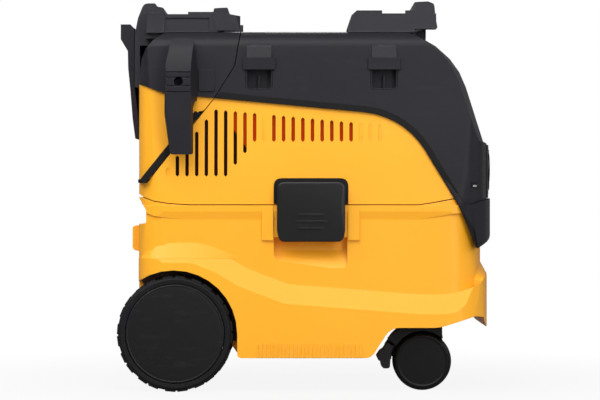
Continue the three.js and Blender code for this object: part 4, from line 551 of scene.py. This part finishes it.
def chamfered_lip(bm, wide, deep):
    bm.normal_update()
    rim = rim_faces(bm)
    inside = set(rim)
    edge_of_skin = {}
    for face in rim:
        for edge in face.edges:
            for other in edge.link_faces:
                if other in inside or other.normal.dot(outward_of(edge.verts[0])) < SKIN_OUT:
                    continue
                for vert in edge.verts:
                    edge_of_skin.setdefault(vert, Vector())
                    edge_of_skin[vert] += other.normal
    rest = [face for face in bm.faces if face not in inside]
    strip = bmesh.ops.inset_region(
        bm, faces=rest, thickness=wide, depth=0, use_boundary=False, use_even_offset=True
    )["faces"]
    for vert, normal in edge_of_skin.items():
        vert.co -= normal.normalized() * deep
    # The chamfer's faces take the second material, a deeper black: painted shade.
    for face in strip:
        if sum(vert in edge_of_skin for vert in face.verts) > 1:
            face.material_index = 1
    return len(rim), len(edge_of_skin)


bm = merged_copy("chin_cover")
counts = chamfered_lip(bm, LIP_WIDE * MM, LIP_DEEP * MM)
chin = stand_in("chin_cover", bm)
chin.data.materials.append(deep_black_and_painted_shade)
print("the chin's rim faces and vertices:", counts)

# %% [markdown]
# ## Laying a strip on a skin
# A few narrow strips lie on the big mouldings. A ray finds the skin under each
# corner, quads join the corners, and the sheet is sunk a little and drawn out
# into a closed slab, so that it grows out of the moulding.

# %% Strips
SIDE_START, SIDE_REACH, FRONT_START = 0.26, 0.2, 0.3  # metres, for the rays


def skin_tree(node):
    """A search tree over a part's faces, for rays to hit."""
    mesh = frame["nodes"][node].data
    return BVHTree.FromPolygons(
        [vert.co.copy() for vert in mesh.vertices],
        [list(face.vertices) for face in mesh.polygons],
    )


def skin_from_side(tree, x, z, side):
    """The skin at a place in the side view: the point and its normal."""
    start = Vector((x * MM, side * SIDE_START, z * MM))
    spot, facing, _, _ = tree.ray_cast(start, Vector((0, -side, 0)), SIDE_REACH)
    return spot, facing


def skin_from_front(tree, y, z):
    """The skin at a place in the front view, in metres."""
    start = Vector((FRONT_START, y * MM, z * MM))
    return tree.ray_cast(start, Vector((-1, 0, 0)), FRONT_START)[0]


def draw_out(bm, step):
    """Draws the whole sheet out by a step in millimetres, into a closed slab."""
    drawn = bmesh.ops.extrude_face_region(bm, geom=bm.faces[:])["geom"]
    verts = [item for item in drawn if isinstance(item, bmesh.types.BMVert)]
    bmesh.ops.translate(bm, verts=verts, vec=[v * MM for v in step])
    bmesh.ops.recalc_face_normals(bm, faces=bm.faces)


def strip_piece(name, rows, outward, sunk, thick, finish, body):
    """A strip through rows of two points, sunk and then drawn out."""
    bm = bmesh.new()
    rows = [[bm.verts.new(point) for point in row] for row in rows]
    for (a, b), (c, d) in zip(rows, rows[1:]):
        bm.faces.new((a, b, d, c))
    bmesh.ops.translate(bm, verts=bm.verts, vec=[-v * sunk * MM for v in outward])
    draw_out(bm, [v * thick for v in outward])
    shade(bm)
    return link_piece(name, bm, finish, body)


hood_tree = skin_tree("hood")
tank_tree = skin_tree("tank_shell")

# %% [markdown]
# ## The shade band on the hood
# The hood's edge is nearly level, bends down round a large radius and runs
# straight to the chin. A band of deeper black along it is painted shade, standing
# for the shaded chamfer of that edge. The band is drawn along that line as a row
# of quads, and each of its corners is dropped on the hood's skin by a ray from the side.

# %% Hood band
LIP_REAR, LIP_BREAK = Vector((-122.6, 389.1)), Vector((127.4, 365.5))
LIP_FOOT, LIP_RADIUS = Vector((198.9, 247.8)), 105.0
BAND_WIDE, BAND_SUNK, BAND_THICK = 8.2, 0.5, 0.8
BAND_START = 6.0  # how far the upper edge starts in front of the lower one
BAND_SLANT = 0.856  # how steeply the straight end falls
BAND_CLEAR = 0.04  # the foot's ray stays this share of the width above the edge
LEVEL_STEPS, BEND_STEPS = 6, 7


def lip_line():
    """The lower edge, with the same bend as the moulding."""
    level = (LIP_BREAK - LIP_REAR).normalized()
    steep = (LIP_FOOT - LIP_BREAK).normalized()
    turn = level.angle(steep)
    reach = LIP_RADIUS * math.tan(turn / 2)
    bend_start = LIP_BREAK - level * reach
    bend_end = LIP_BREAK + steep * reach
    heart = bend_start + Vector((level.y, -level.x)) * LIP_RADIUS
    spoke = bend_start - heart
    line = [LIP_REAR.lerp(bend_start, t / LEVEL_STEPS) for t in range(LEVEL_STEPS)]
    for step in range(BEND_STEPS + 1):
        line.append(heart + Matrix.Rotation(-turn * step / BEND_STEPS, 2) @ spoke)
    line += [bend_end.lerp(LIP_FOOT, t / LEVEL_STEPS) for t in range(1, LEVEL_STEPS + 1)]
    return line


line = lip_line()
upper = []
for index, point in enumerate(line):
    along = line[min(index + 1, len(line) - 1)] - line[max(index - 1, 0)]
    up = Vector((-along.y, along.x)).normalized()
    upper.append(point + up * BAND_WIDE)
upper[0] = line[0] + Vector((BAND_START, BAND_WIDE))
upper[-1] = line[-1] + Vector((BAND_WIDE / BAND_SLANT, 0))

for side, word in SIDES:
    rows = []
    for low_end, high_end in zip(line, upper):
        top, _ = skin_from_side(hood_tree, *high_end, side)
        just_above = low_end + (high_end - low_end) * BAND_CLEAR
        foot, _ = skin_from_side(hood_tree, *just_above, side)
        rows.append((foot or Vector((low_end.x * MM, top.y, low_end.y * MM)), top))
    band = strip_piece(
        "hood_shade_band_" + word, rows, (0, side, 0), BAND_SUNK, BAND_THICK, deep_black_and_painted_shade, "head"
    )
print("faces in a hood band:", len(band.data.polygons))

# %% [markdown]
# ## The sill under the panel
# A flat sill closes the step between the front panel and the chin. It follows
# the nose's curve, so its corners are dropped on the hood from the front.

# %% Nose sill
SILL_HEIGHTS, SILL_SUNK, SILL_THICK = (256.9, 261.8), 0.3, 2.5
SILL_STEPS, SILL_STEP = 10, 9.9
rows = []
for step in range(-SILL_STEPS, SILL_STEPS + 1):
    rows.append([skin_from_front(hood_tree, step * SILL_STEP, z) for z in SILL_HEIGHTS])
strip_piece("nose_sill", rows, (1, 0, 0), SILL_SUNK, SILL_THICK, black, "head")
print("nose sill columns:", len(rows))

# %% [markdown]
# ## Panel lines
# The cord hooks and the docks have a shallow field inside a raised border on
# their outer sides. An inset with a small negative depth gives both.

# %% Sunk fields
FACES_SIDE, FIELD_REACH, LEAST_FIELD = 0.99, 1.0, 0.0002  # the last in square metres
HOOK_BORDER, HOOK_SINK, DOCK_BORDER, DOCK_SINK = 2.4, 0.5, 2.5, 0.6
BAR_INSIDE, BAR_FOOT, BAR_RISE = 130, 6, 21
BAR_BEHIND, BAR_UNDER = 150, 485.2


def sunk_field(node, border, sink, reshape=None):
    """Insets the outermost side faces of a part and sinks them."""
    bm = merged_copy(node)
    if reshape:
        reshape(bm)
    bm.normal_update()
    outermost = max(abs(vert.co.y) for vert in bm.verts)
    fields = [
        face
        for face in bm.faces
        if abs(face.normal.y) > FACES_SIDE
        and abs(face.calc_center_median().y) > outermost - FIELD_REACH * MM
        and face.calc_area() > LEAST_FIELD
    ]
    bmesh.ops.inset_region(
        bm, faces=fields, thickness=border * MM, depth=-sink * MM,
        use_boundary=True, use_even_offset=True,
    )
    stand_in(node, bm)
    print(node, "fields:", len(fields))


def cut_across(bm, geom, y):
    """Cuts a mesh where a plane across Y meets it."""
    bmesh.ops.bisect_plane(bm, geom=geom, dist=1e-6, plane_co=(0, y * MM, 0), plane_no=(0, 1, 0))


def arch_under_bar(bm):
    """Between its two ends, the front bar's underside is raised."""
    outer = BAR_INSIDE + BAR_FOOT
    for y in (-outer, -BAR_INSIDE, BAR_INSIDE, outer):
        cut_across(bm, bm.verts[:] + bm.edges[:] + bm.faces[:], y)
    for vert in bm.verts:
        x, y, z = vert.co / MM
        if abs(y) < BAR_INSIDE + 0.5 and x > BAR_BEHIND and z < BAR_UNDER:
            vert.co.z += BAR_RISE * MM


for _, word in SIDES:
    sunk_field("side_hook_" + word, HOOK_BORDER, HOOK_SINK)
sunk_field("rear_dock", DOCK_BORDER, DOCK_SINK)
sunk_field("front_dock", DOCK_BORDER, DOCK_SINK, reshape=arch_under_bar)

# %% [markdown]
# ## The tank's flare
# The skirt swings out from the tank along a slanted strip. Its creases are too
# shallow for the rule that finds corners, yet they must stay crisp, or the
# strip would melt into the wall. So edges between two side faces that lean
# differently are marked sharp.

# %% Tank
FACES_OUT, LEAST_LEAN = 0.8, 0.1


def crisp_leans(bm):
    """Marks the edges between side faces that lean differently as sharp."""
    bm.normal_update()
    marked = 0
    for edge in bm.edges:
        if len(edge.link_faces) != 2:
            continue
        first, second = (face.normal for face in edge.link_faces)
        side_faces = min(abs(first.y), abs(second.y)) > FACES_OUT
        if side_faces and abs(first.z - second.z) > LEAST_LEAN:
            edge.smooth = False
            marked += 1
    return marked


tank = stand_in("tank_shell", merged_copy("tank_shell"))
bm = bmesh.new()
bm.from_mesh(tank.data)
print("creases marked on the tank:", crisp_leans(bm))
bm.to_mesh(tank.data)
bm.free()

# %% [markdown]
# ## The flare over the wheel
# Above the wheel the slanted strip of the skirt climbs higher up the wall. A
# narrow strip of the same plastic carries it on: its upper edge lies on the
# wall and its foot on the skirt's edge, both found with rays from the side.

# %% Flare crown
CROWN = [
    (-221, 180.0), (-212, 187.0), (-200, 193.0), (-186, 196.6), (-169, 197.8), (-152, 197.6),
    (-140, 196.2), (-128, 192.8), (-116, 188.2), (-104, 182.8), (-94, 178.2),
]
CROWN_FOOT, CROWN_SUNK, CROWN_THICK = 176.3, 1.5, 1.55
for side, word in SIDES:
    rows = [
        [skin_from_side(tank_tree, x, z, side)[0] for z in (CROWN_FOOT, top)] for x, top in CROWN
    ]
    crown = strip_piece(
        "flare_crown_" + word, rows, (0, side, 0), CROWN_SUNK, CROWN_THICK, yellow, "tank"
    )
print("faces in a flare crown:", len(crown.data.polygons))

# %% [markdown]
# ## The bumper's top
# On the front, the wall runs into the bumper over a slope and not over a step.
# Rays from the front find the wall and the bumper's upper edge. A wedge follows
# the two from one side of the front to the other.

# %% Bumper slope
BUMPER_SLOPE = [
    (0, 15), (25, 15), (50, 15), (75, 15), (100, 14.5), (120, 13.5), (138, 12), (148, 9),
    (155, 5), (159, 2),
]
SEARCH_FROM, SEARCH_STEP, STEP_OUT = 162.0, 0.25, 4
FOOT_UNDER, FOOT_LIFT, HEEL_BACK, HEEL_DOWN = 1.0, 0.1, 1.0, 12.0


def bumper_edge(y):
    """The height at which the bumper stands out from the wall."""
    wall = skin_from_front(tank_tree, y, SEARCH_FROM).x
    z = SEARCH_FROM
    while skin_from_front(tank_tree, y, z).x < wall + STEP_OUT * MM:
        z -= SEARCH_STEP
    return z


bm = bmesh.new()
rows = []
stations = [(-y, rise) for y, rise in BUMPER_SLOPE[:0:-1]] + BUMPER_SLOPE
for y, rise in stations:
    edge_z = bumper_edge(y)
    foot = skin_from_front(tank_tree, y, edge_z - FOOT_UNDER)
    foot.z = (edge_z + FOOT_LIFT) * MM
    top = skin_from_front(tank_tree, y, edge_z + rise)
    heel = Vector((top.x - HEEL_BACK * MM, top.y, (edge_z - HEEL_DOWN) * MM))
    rows.append([bm.verts.new(corner) for corner in (foot, top, heel)])
for row, following in zip(rows, rows[1:]):
    for near, far in ((0, 1), (1, 2), (2, 0)):
        bm.faces.new((row[near], row[far], following[far], following[near]))
bmesh.ops.holes_fill(bm, edges=bm.edges[:], sides=3)
bmesh.ops.recalc_face_normals(bm, faces=bm.faces)
shade(bm)
link_piece("bumper_slope", bm, yellow, "tank")
print("bumper slope stations:", len(stations))

# %% [markdown]
# ## Ribs on the cord rest
# The plate on the back is stiffened by upright ribs. The merged copy is cut on
# both sides of each rib, and the fields between the ribs are sunk.

# %% Cord rest
RIB_PLACES, RIB_HALF = (-80, -40, 0, 40, 80), 2.0
FACES_REAR, PLATE_TOP = -0.98, 456
FIELD_BORDER, FIELD_SINK = 2.4, 1.2


def back_faces(bm):
    return [
        face for face in bm.faces
        if face.normal.x < FACES_REAR and face.calc_center_median().z < PLATE_TOP * MM
    ]


def between_ribs(face):
    y = face.calc_center_median().y / MM
    return all(abs(y - place) > RIB_HALF for place in RIB_PLACES)


bm = merged_copy("rear_hook")
bm.normal_update()
for place in RIB_PLACES:
    for edge_at in (place - RIB_HALF, place + RIB_HALF):
        faces = back_faces(bm)
        edges = dict.fromkeys(edge for face in faces for edge in face.edges)
        verts = dict.fromkeys(vert for face in faces for vert in face.verts)
        cut_across(bm, [*verts, *edges, *faces], edge_at)
bm.normal_update()
fields = [face for face in back_faces(bm) if between_ribs(face)]
bmesh.ops.inset_region(
    bm, faces=fields, thickness=FIELD_BORDER * MM, depth=-FIELD_SINK * MM,
    use_boundary=True, use_even_offset=True,
)
stand_in("rear_hook", bm)
print("fields on the cord rest:", len(fields))

# %% [markdown]
# ## Caster webs
# A thin web joins the caster's body to the place under its brake pedal. It
# keeps clear of both wheels, and the left one is the right one turned a quarter,
# as the left caster itself is.

# %% Caster webs
WEB_OUTER = [
    (112.6, 39), (103, 42), (102, 53), (103.8, 61), (108.5, 67.5), (118.5, 75.8), (131, 81),
]
WEB_ARC = (58, 48, 38, 28, 18, 9)  # degrees round the wheel's hub
HUB_X, HUB_Z, WEB_RADIUS = 152.5, 39.0, 39.9
STEM_X, STEM_Y, WEB_FACE, WEB_THICK = 168.0, 136.0, 118.2, 2.0
web_outline = list(WEB_OUTER)
for angle in map(math.radians, WEB_ARC):
    web_outline.append(
        (HUB_X - WEB_RADIUS * math.cos(angle), HUB_Z + WEB_RADIUS * math.sin(angle))
    )
for _, word in SIDES:
    bm = bmesh.new()
    bm.faces.new([bm.verts.new((x * MM, -WEB_FACE * MM, z * MM)) for x, z in web_outline])
    draw_out(bm, (0, WEB_THICK, 0))
    if word == "left":
        bmesh.ops.rotate(
            bm, verts=bm.verts, cent=(STEM_X * MM, -STEM_Y * MM, 0),
            matrix=Matrix.Rotation(math.radians(90), 3, "Z"),
        )
        bmesh.ops.translate(bm, verts=bm.verts, vec=(0, 2 * STEM_Y * MM, 0))
    shade(bm)
    holder = frame["nodes"]["caster_body_" + word]
    web = link_piece("caster_web_" + word, bm, caster_black, holder["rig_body"])

# %% [markdown]
# ## The other parts
# Every part that has no finer model of its own gets its merged, smoothly shaded
# copy, in the finish of its slot.

# %% The other parts
for node in sorted(frame["nodes"]):
    if node not in done:
        stand_in(node, merged_copy(node))
print("parts finished:", len(done))

# %% [markdown]
# ## Dark gaps
# Deep in the vents, the wheel arches and the latch bays the shells lie in shade.
# Dark sheets stand there as painted shade: a near-black brown behind the rear
# slots, a dark orange behind the front ones, a dark brown liner over each wheel
# and a black frame round each latch. A black strip also runs along the filter
# cover's seam. The three finishes below are duller and rougher than the shells'.

# %% Finishes of painted shade
# Painted shade: dark brown and dark orange stand for the shadow behind the slots and under the
# arches.
near_black_shade = plastic(
    "painted_shade_near_black", srgb(28, 9, 3), srgb(42, 15, 5), srgb(58, 26, 12), 0.95, 700.0, 0.4, shine=0.1
)
orange_shade = plastic(
    "painted_shade_orange", srgb(150, 42, 0), srgb(174, 56, 0), srgb(200, 88, 14), 0.8, shine=0.1
)
dark_arch_shade = plastic("painted_shade_arch", srgb(48, 20, 8), srgb(74, 32, 12), srgb(100, 50, 22), 0.6)

# %% [markdown]
# ## Sheets on the side
# The painted-shade sheets in the vents, the latch frames, the lips on the cover's
# seam and a gusset at each end of the rear dock are thin sheets. Each is drawn as a
# flat outline in the side view, with a quadratic curve at each round corner, and
# drawn out to its thickness. Most of them follow the head's leaning side.

# %% Liner helpers
HEAD_HALF, HEAD_LEAN, HEAD_FOOT = 178.0, 0.037, 247.0


def head_side(z):
    """How far out the head's leaning side is at a height, in millimetres."""
    return HEAD_HALF - HEAD_LEAN * (z - HEAD_FOOT)


def rounded_outline(corners, steps=5):
    """Corners are (x, z, rounding); returns the outline with round corners."""
    outline = []
    for index, (x, z, rounding) in enumerate(corners):
        here = Vector((x, z))
        if not rounding:
            outline.append(here)
            continue
        before = Vector(corners[index - 1][:2]) - here
        after = Vector(corners[(index + 1) % len(corners)][:2]) - here
        start = here + before.normalized() * rounding
        end = here + after.normalized() * rounding
        for step in range(steps + 1):
            t = step / steps
            outline.append(start * (1 - t) ** 2 + here * 2 * t * (1 - t) + end * t**2)
    return outline


def side_sheet(name, outline, stand, thick, finish, body, side, lean):
    """A sheet lying against the head's side: its outer face stands off by stand."""
    bm = bmesh.new()
    verts = []
    for x, z in outline:
        y = (head_side(z) if lean else HEAD_HALF) + stand - thick
        verts.append(bm.verts.new((x * MM, side * y * MM, z * MM)))
    bm.faces.new(verts)
    draw_out(bm, (0, side * thick, 0))
    shade(bm)
    link_piece(name, bm, finish, body)


# %% Painted shade in the vents and latch bays, and the cover's lip
rear_slots_outline = rounded_outline(
    [
        (-196, 281, 0), (-78, 281, 0), (-78, 314, 0), (-105, 352, 0), (-107, 371, 0),
        (-133, 371, 0), (-196, 292, 0),
    ]
)
front_slots_outline = rounded_outline(
    [
        (-76, 281, 0), (72, 281, 0), (72, 362, 0), (-76, 374, 0), (-105, 374, 0),
        (-103, 353, 0), (-76, 315, 0),
    ]
)
latch_bay_outline = rounded_outline(
    [
        (-45.5, 248.8, 0), (-45.5, 283, 11), (53.5, 283, 11), (53.5, 248.8, 0),
        (43, 248.8, 0), (43, 271, 6), (-35, 271, 6), (-35, 248.8, 0),
    ]
)
lip_outline = rounded_outline(
    [(-216.6, 274.8, 3.9), (-142.6, 367.6, 1), (-149.4, 372.6, 1), (-223.2, 280.6, 3.9)]
)
gusset_outline = rounded_outline(
    [(-128, 505.2, 0), (-96, 499.8, 2), (-90.8, 480.0, 1), (-123, 480.0, 0)]
)
# The vent sheets and the latch frames are painted shade: dark stand-ins for the shadow in the vents
# and the latch bays.
# Name, outline, how far it stands off, thickness, finish, body, whether it leans.
SHEETS = [
    ("dock_gusset_", gusset_outline, -20.0, 3.0, dock_black, "filter_cover", False),
    ("rear_slot_shade_", rear_slots_outline, -3.5, 1.0, near_black_shade, "head", True),
    ("front_slot_shade_", front_slots_outline, -3.5, 1.0, orange_shade, "head", True),
    ("latch_bay_shade_", latch_bay_outline, 0.5, 2.2, deep_black_and_painted_shade, "head", True),
    ("cover_lip_", lip_outline, 0.4, 1.4, deep_black_and_painted_shade, "filter_cover", True),
]
for side, word in SIDES:
    for name, outline, stand, thick, finish, body, lean in SHEETS:
        side_sheet(name + word, outline, stand, thick, finish, body, side, lean)
print("sheets made:", len(SIDES) * len(SHEETS))

# %% [markdown]
# ## Hinge strips
# A soft strip on each side closes the gap over the filter cover's hinge. It is a
# box with rounded edges, and so are the small pieces of the next step.

# %% Hinge strips
STRIP_SIZE, STRIP_ROUND = (12, 101, 5.0), 1.2
STRIP_X, STRIP_Y, STRIP_Z = -219.4, 124.5, 279.2


def bar(name, size, rounding, where, finish, body):
    """A box with rounded edges, put in its place by a matrix."""
    bm = bmesh.new()
    block = bevelled_block(bm, size, rounding, 3)
    bmesh.ops.transform(bm, matrix=where, verts=block)
    shade(bm, DISC_CORNER)
    return link_piece(name, bm, finish, body)


for side, word in SIDES:
    where = Matrix.Translation((STRIP_X * MM, side * STRIP_Y * MM, STRIP_Z * MM))
    strip = bar("hinge_strip_" + word, STRIP_SIZE, STRIP_ROUND, where, deep_black_and_painted_shade, "filter_cover")
print("faces in a hinge strip:", len(strip.data.polygons))

# %% [markdown]
# ## The window in the nose
# On each side of the nose sits a small rocker with a pale insert. A ray is
# shot at the hood from the side to find the skin and the way it faces there,
# and the pieces are laid on that spot.

# %% Nose windows
NOSE_X, NOSE_Z = 220.7, 274.2
ROCKER_SIZE, ROCKER_ROUND = (8.4, 2.4, 8.0), 0.9
INSERT_SIZE, INSERT_ROUND, INSERT_OUT, INSERT_DOWN = (5.8, 1.6, 2.6), 0.5, 0.8, 1.7
pale = plastic("window_grey", srgb(150, 152, 154), srgb(170, 172, 174), srgb(190, 190, 190), 0.3)
for side, word in SIDES:
    spot, facing = skin_from_side(hood_tree, NOSE_X, NOSE_Z, side)
    turn = Vector((0, side, 0)).rotation_difference(facing).to_matrix().to_4x4()
    seat = Matrix.Translation(spot) @ turn
    bar("nose_rocker_" + word, ROCKER_SIZE, ROCKER_ROUND, seat, deep_black_and_painted_shade, "head")
    insert = seat @ Matrix.Translation((0, side * INSERT_OUT * MM, -INSERT_DOWN * MM))
    bar("nose_window_" + word, INSERT_SIZE, INSERT_ROUND, insert, pale, "head")
    print("nose window on the", word, "at", [round(v / MM) for v in spot])

# %% [markdown]
# ## Shade in the wheel arches
# Over each rear wheel a thin dark shell follows the arch and closes its back. Its
# dark brown is painted shade for the deep shadow in the arch. Its section is an L:
# along the back wall, then outwards under the arch. It is spun part of a turn round
# the axle and given a wall.

# %% Arch shade liners
ARCH_X, ARCH_Z, ARCH_RADIUS = -177.5, 77.0, 83.2
LINER_INNER, LINER_BACK, LINER_FRONT, LINER_WALL = 22, 144.9, 172.5, 0.8
LINER_START, LINER_SWEEP, LINER_STEPS = 8, 131, 48  # degrees, degrees and facets
section = [(LINER_INNER, LINER_BACK), (ARCH_RADIUS, LINER_BACK), (ARCH_RADIUS, LINER_FRONT)]
axle = (ARCH_X * MM, 0, ARCH_Z * MM)
to_axle = Matrix.Translation(axle)
turn = to_axle @ Matrix.Rotation(math.radians(LINER_START), 4, "Y") @ to_axle.inverted()
for side, word in SIDES:
    bm = bmesh.new()
    corners = [
        bm.verts.new(((ARCH_X + r) * MM, side * y * MM, ARCH_Z * MM)) for r, y in section
    ]
    for pair in zip(corners, corners[1:]):
        bm.edges.new(pair)
    bmesh.ops.transform(bm, matrix=turn, verts=bm.verts)
    bmesh.ops.spin(
        bm, geom=bm.verts[:] + bm.edges[:], cent=axle, axis=(0, -1, 0),
        angle=math.radians(LINER_SWEEP), steps=LINER_STEPS, dvec=(0, 0, 0),
    )
    bmesh.ops.recalc_face_normals(bm, faces=bm.faces)
    bmesh.ops.solidify(bm, geom=bm.faces[:], thickness=LINER_WALL * MM)
    bmesh.ops.recalc_face_normals(bm, faces=bm.faces)
    shade(bm)
    liner = link_piece("arch_liner_shade_" + word, bm, dark_arch_shade, "tank")
print("faces in a splash liner:", len(liner.data.polygons))

# %% [markdown]
# ## Floor
# The floor glows nearly white for the camera and is a plain grey for everything
# else, so that it keeps the machine's shadow and lights it little from below.
# Away from the machine the glow rises to full white and runs into the room.

# %% Floor
FLOOR_SIZE, FLOOR_TONE = 12, 0.34
FADE_FROM, FADE_TO, NEAR_GLOW = 0.3, 0.75, 0.9  # metres, metres and a share of white
floor_mesh = bpy.data.meshes.new("floor")
bm = bmesh.new()
bmesh.ops.create_grid(bm, x_segments=1, y_segments=1, size=FLOOR_SIZE)
bm.to_mesh(floor_mesh)
bm.free()
floor = new_object("floor", floor_mesh)
white_floor = bpy.data.materials.new("white_floor")
white_floor.use_nodes = True
tree = white_floor.node_tree
matt = tree.nodes["Principled BSDF"]
matt.inputs["Base Color"].default_value = (FLOOR_TONE, FLOOR_TONE, FLOOR_TONE, 1)
matt.inputs["Roughness"].default_value = 0.9
matt.inputs["Specular IOR Level"].default_value = 0.0
ray = add_node(tree, "ShaderNodeLightPath", (-900, 300))
place = add_node(tree, "ShaderNodeTexCoord", (-1300, 0))
away = add_node(tree, "ShaderNodeVectorMath", (-1100, 0), operation="LENGTH")
fade = stretch(tree, (-850, 0), source=(FADE_FROM, FADE_TO), target=(NEAR_GLOW, 1))
seen = add_node(tree, "ShaderNodeMath", (-500, 200), operation="MULTIPLY")
glow = add_node(tree, "ShaderNodeEmission", (-100, -300), Strength=1.0)
blend = add_node(tree, "ShaderNodeMixShader", (250, 0))
tree.links.new(place.outputs["Object"], away.inputs[0])
tree.links.new(away.outputs["Value"], fade.inputs["Value"])
tree.links.new(ray.outputs["Is Camera Ray"], seen.inputs[0])
tree.links.new(fade.outputs["Result"], seen.inputs[1])
tree.links.new(seen.outputs["Value"], blend.inputs["Fac"])
tree.links.new(matt.outputs["BSDF"], blend.inputs[1])
tree.links.new(glow.outputs["Emission"], blend.inputs[2])
tree.links.new(blend.outputs["Shader"], tree.nodes["Material Output"].inputs["Surface"])
floor_mesh.materials.append(white_floor)
print("floor shader:", len(tree.nodes), "nodes")

# %% [markdown]
# ## Room and lamps
# The room is white for the camera and dim as a light. Large soft lamps stand
# round the machine, so that highlights on the black parts are long and quiet.

# %% World and lamps
ROOM_LIGHT = 0.24  # the room's strength where the camera doesn't see it
world = bpy.data.worlds.new("white_room")
bpy.context.scene.world = world
world.use_nodes = True
tree = world.node_tree
room = tree.nodes["Background"]
ray = add_node(tree, "ShaderNodeLightPath", (-900, 0))
level = stretch(tree, (-400, 0), target=(ROOM_LIGHT, 1.0))
tree.links.new(ray.outputs["Is Camera Ray"], level.inputs["Value"])
tree.links.new(level.outputs["Result"], room.inputs["Strength"])
room.inputs["Color"].default_value = (1, 1, 1, 1)


def soft_lamp(name, at, target, size, watts):
    data = bpy.data.lights.new(name, "AREA")
    data.shape = "RECTANGLE"
    data.size, data.size_y = size
    data.energy = watts
    lamp = new_object(name, data)
    lamp.location = at
    lamp.rotation_euler = (Vector(target) - Vector(at)).to_track_quat("-Z", "Y").to_euler()


soft_lamp("key", (-0.9, -1.3, 1.75), (0, 0, 0.34), (2.6, 1.5), 47)
soft_lamp("front", (1.15, -2.7, 0.9), (0, 0, 0.4), (0.9, 1.4), 21)
soft_lamp("top", (0.6, -1.6, 1.9), (0, 0, 0.15), (1.4, 0.8), 12)
soft_lamp("side", (2.6, -0.4, 1.3), (0, 0, 0.25), (1.2, 1.2), 14)
soft_lamp("back", (-0.4, 2.2, 2.0), (0, 0, 0.3), (2.0, 1.2), 34)
print("lamps:", len(bpy.data.lights))
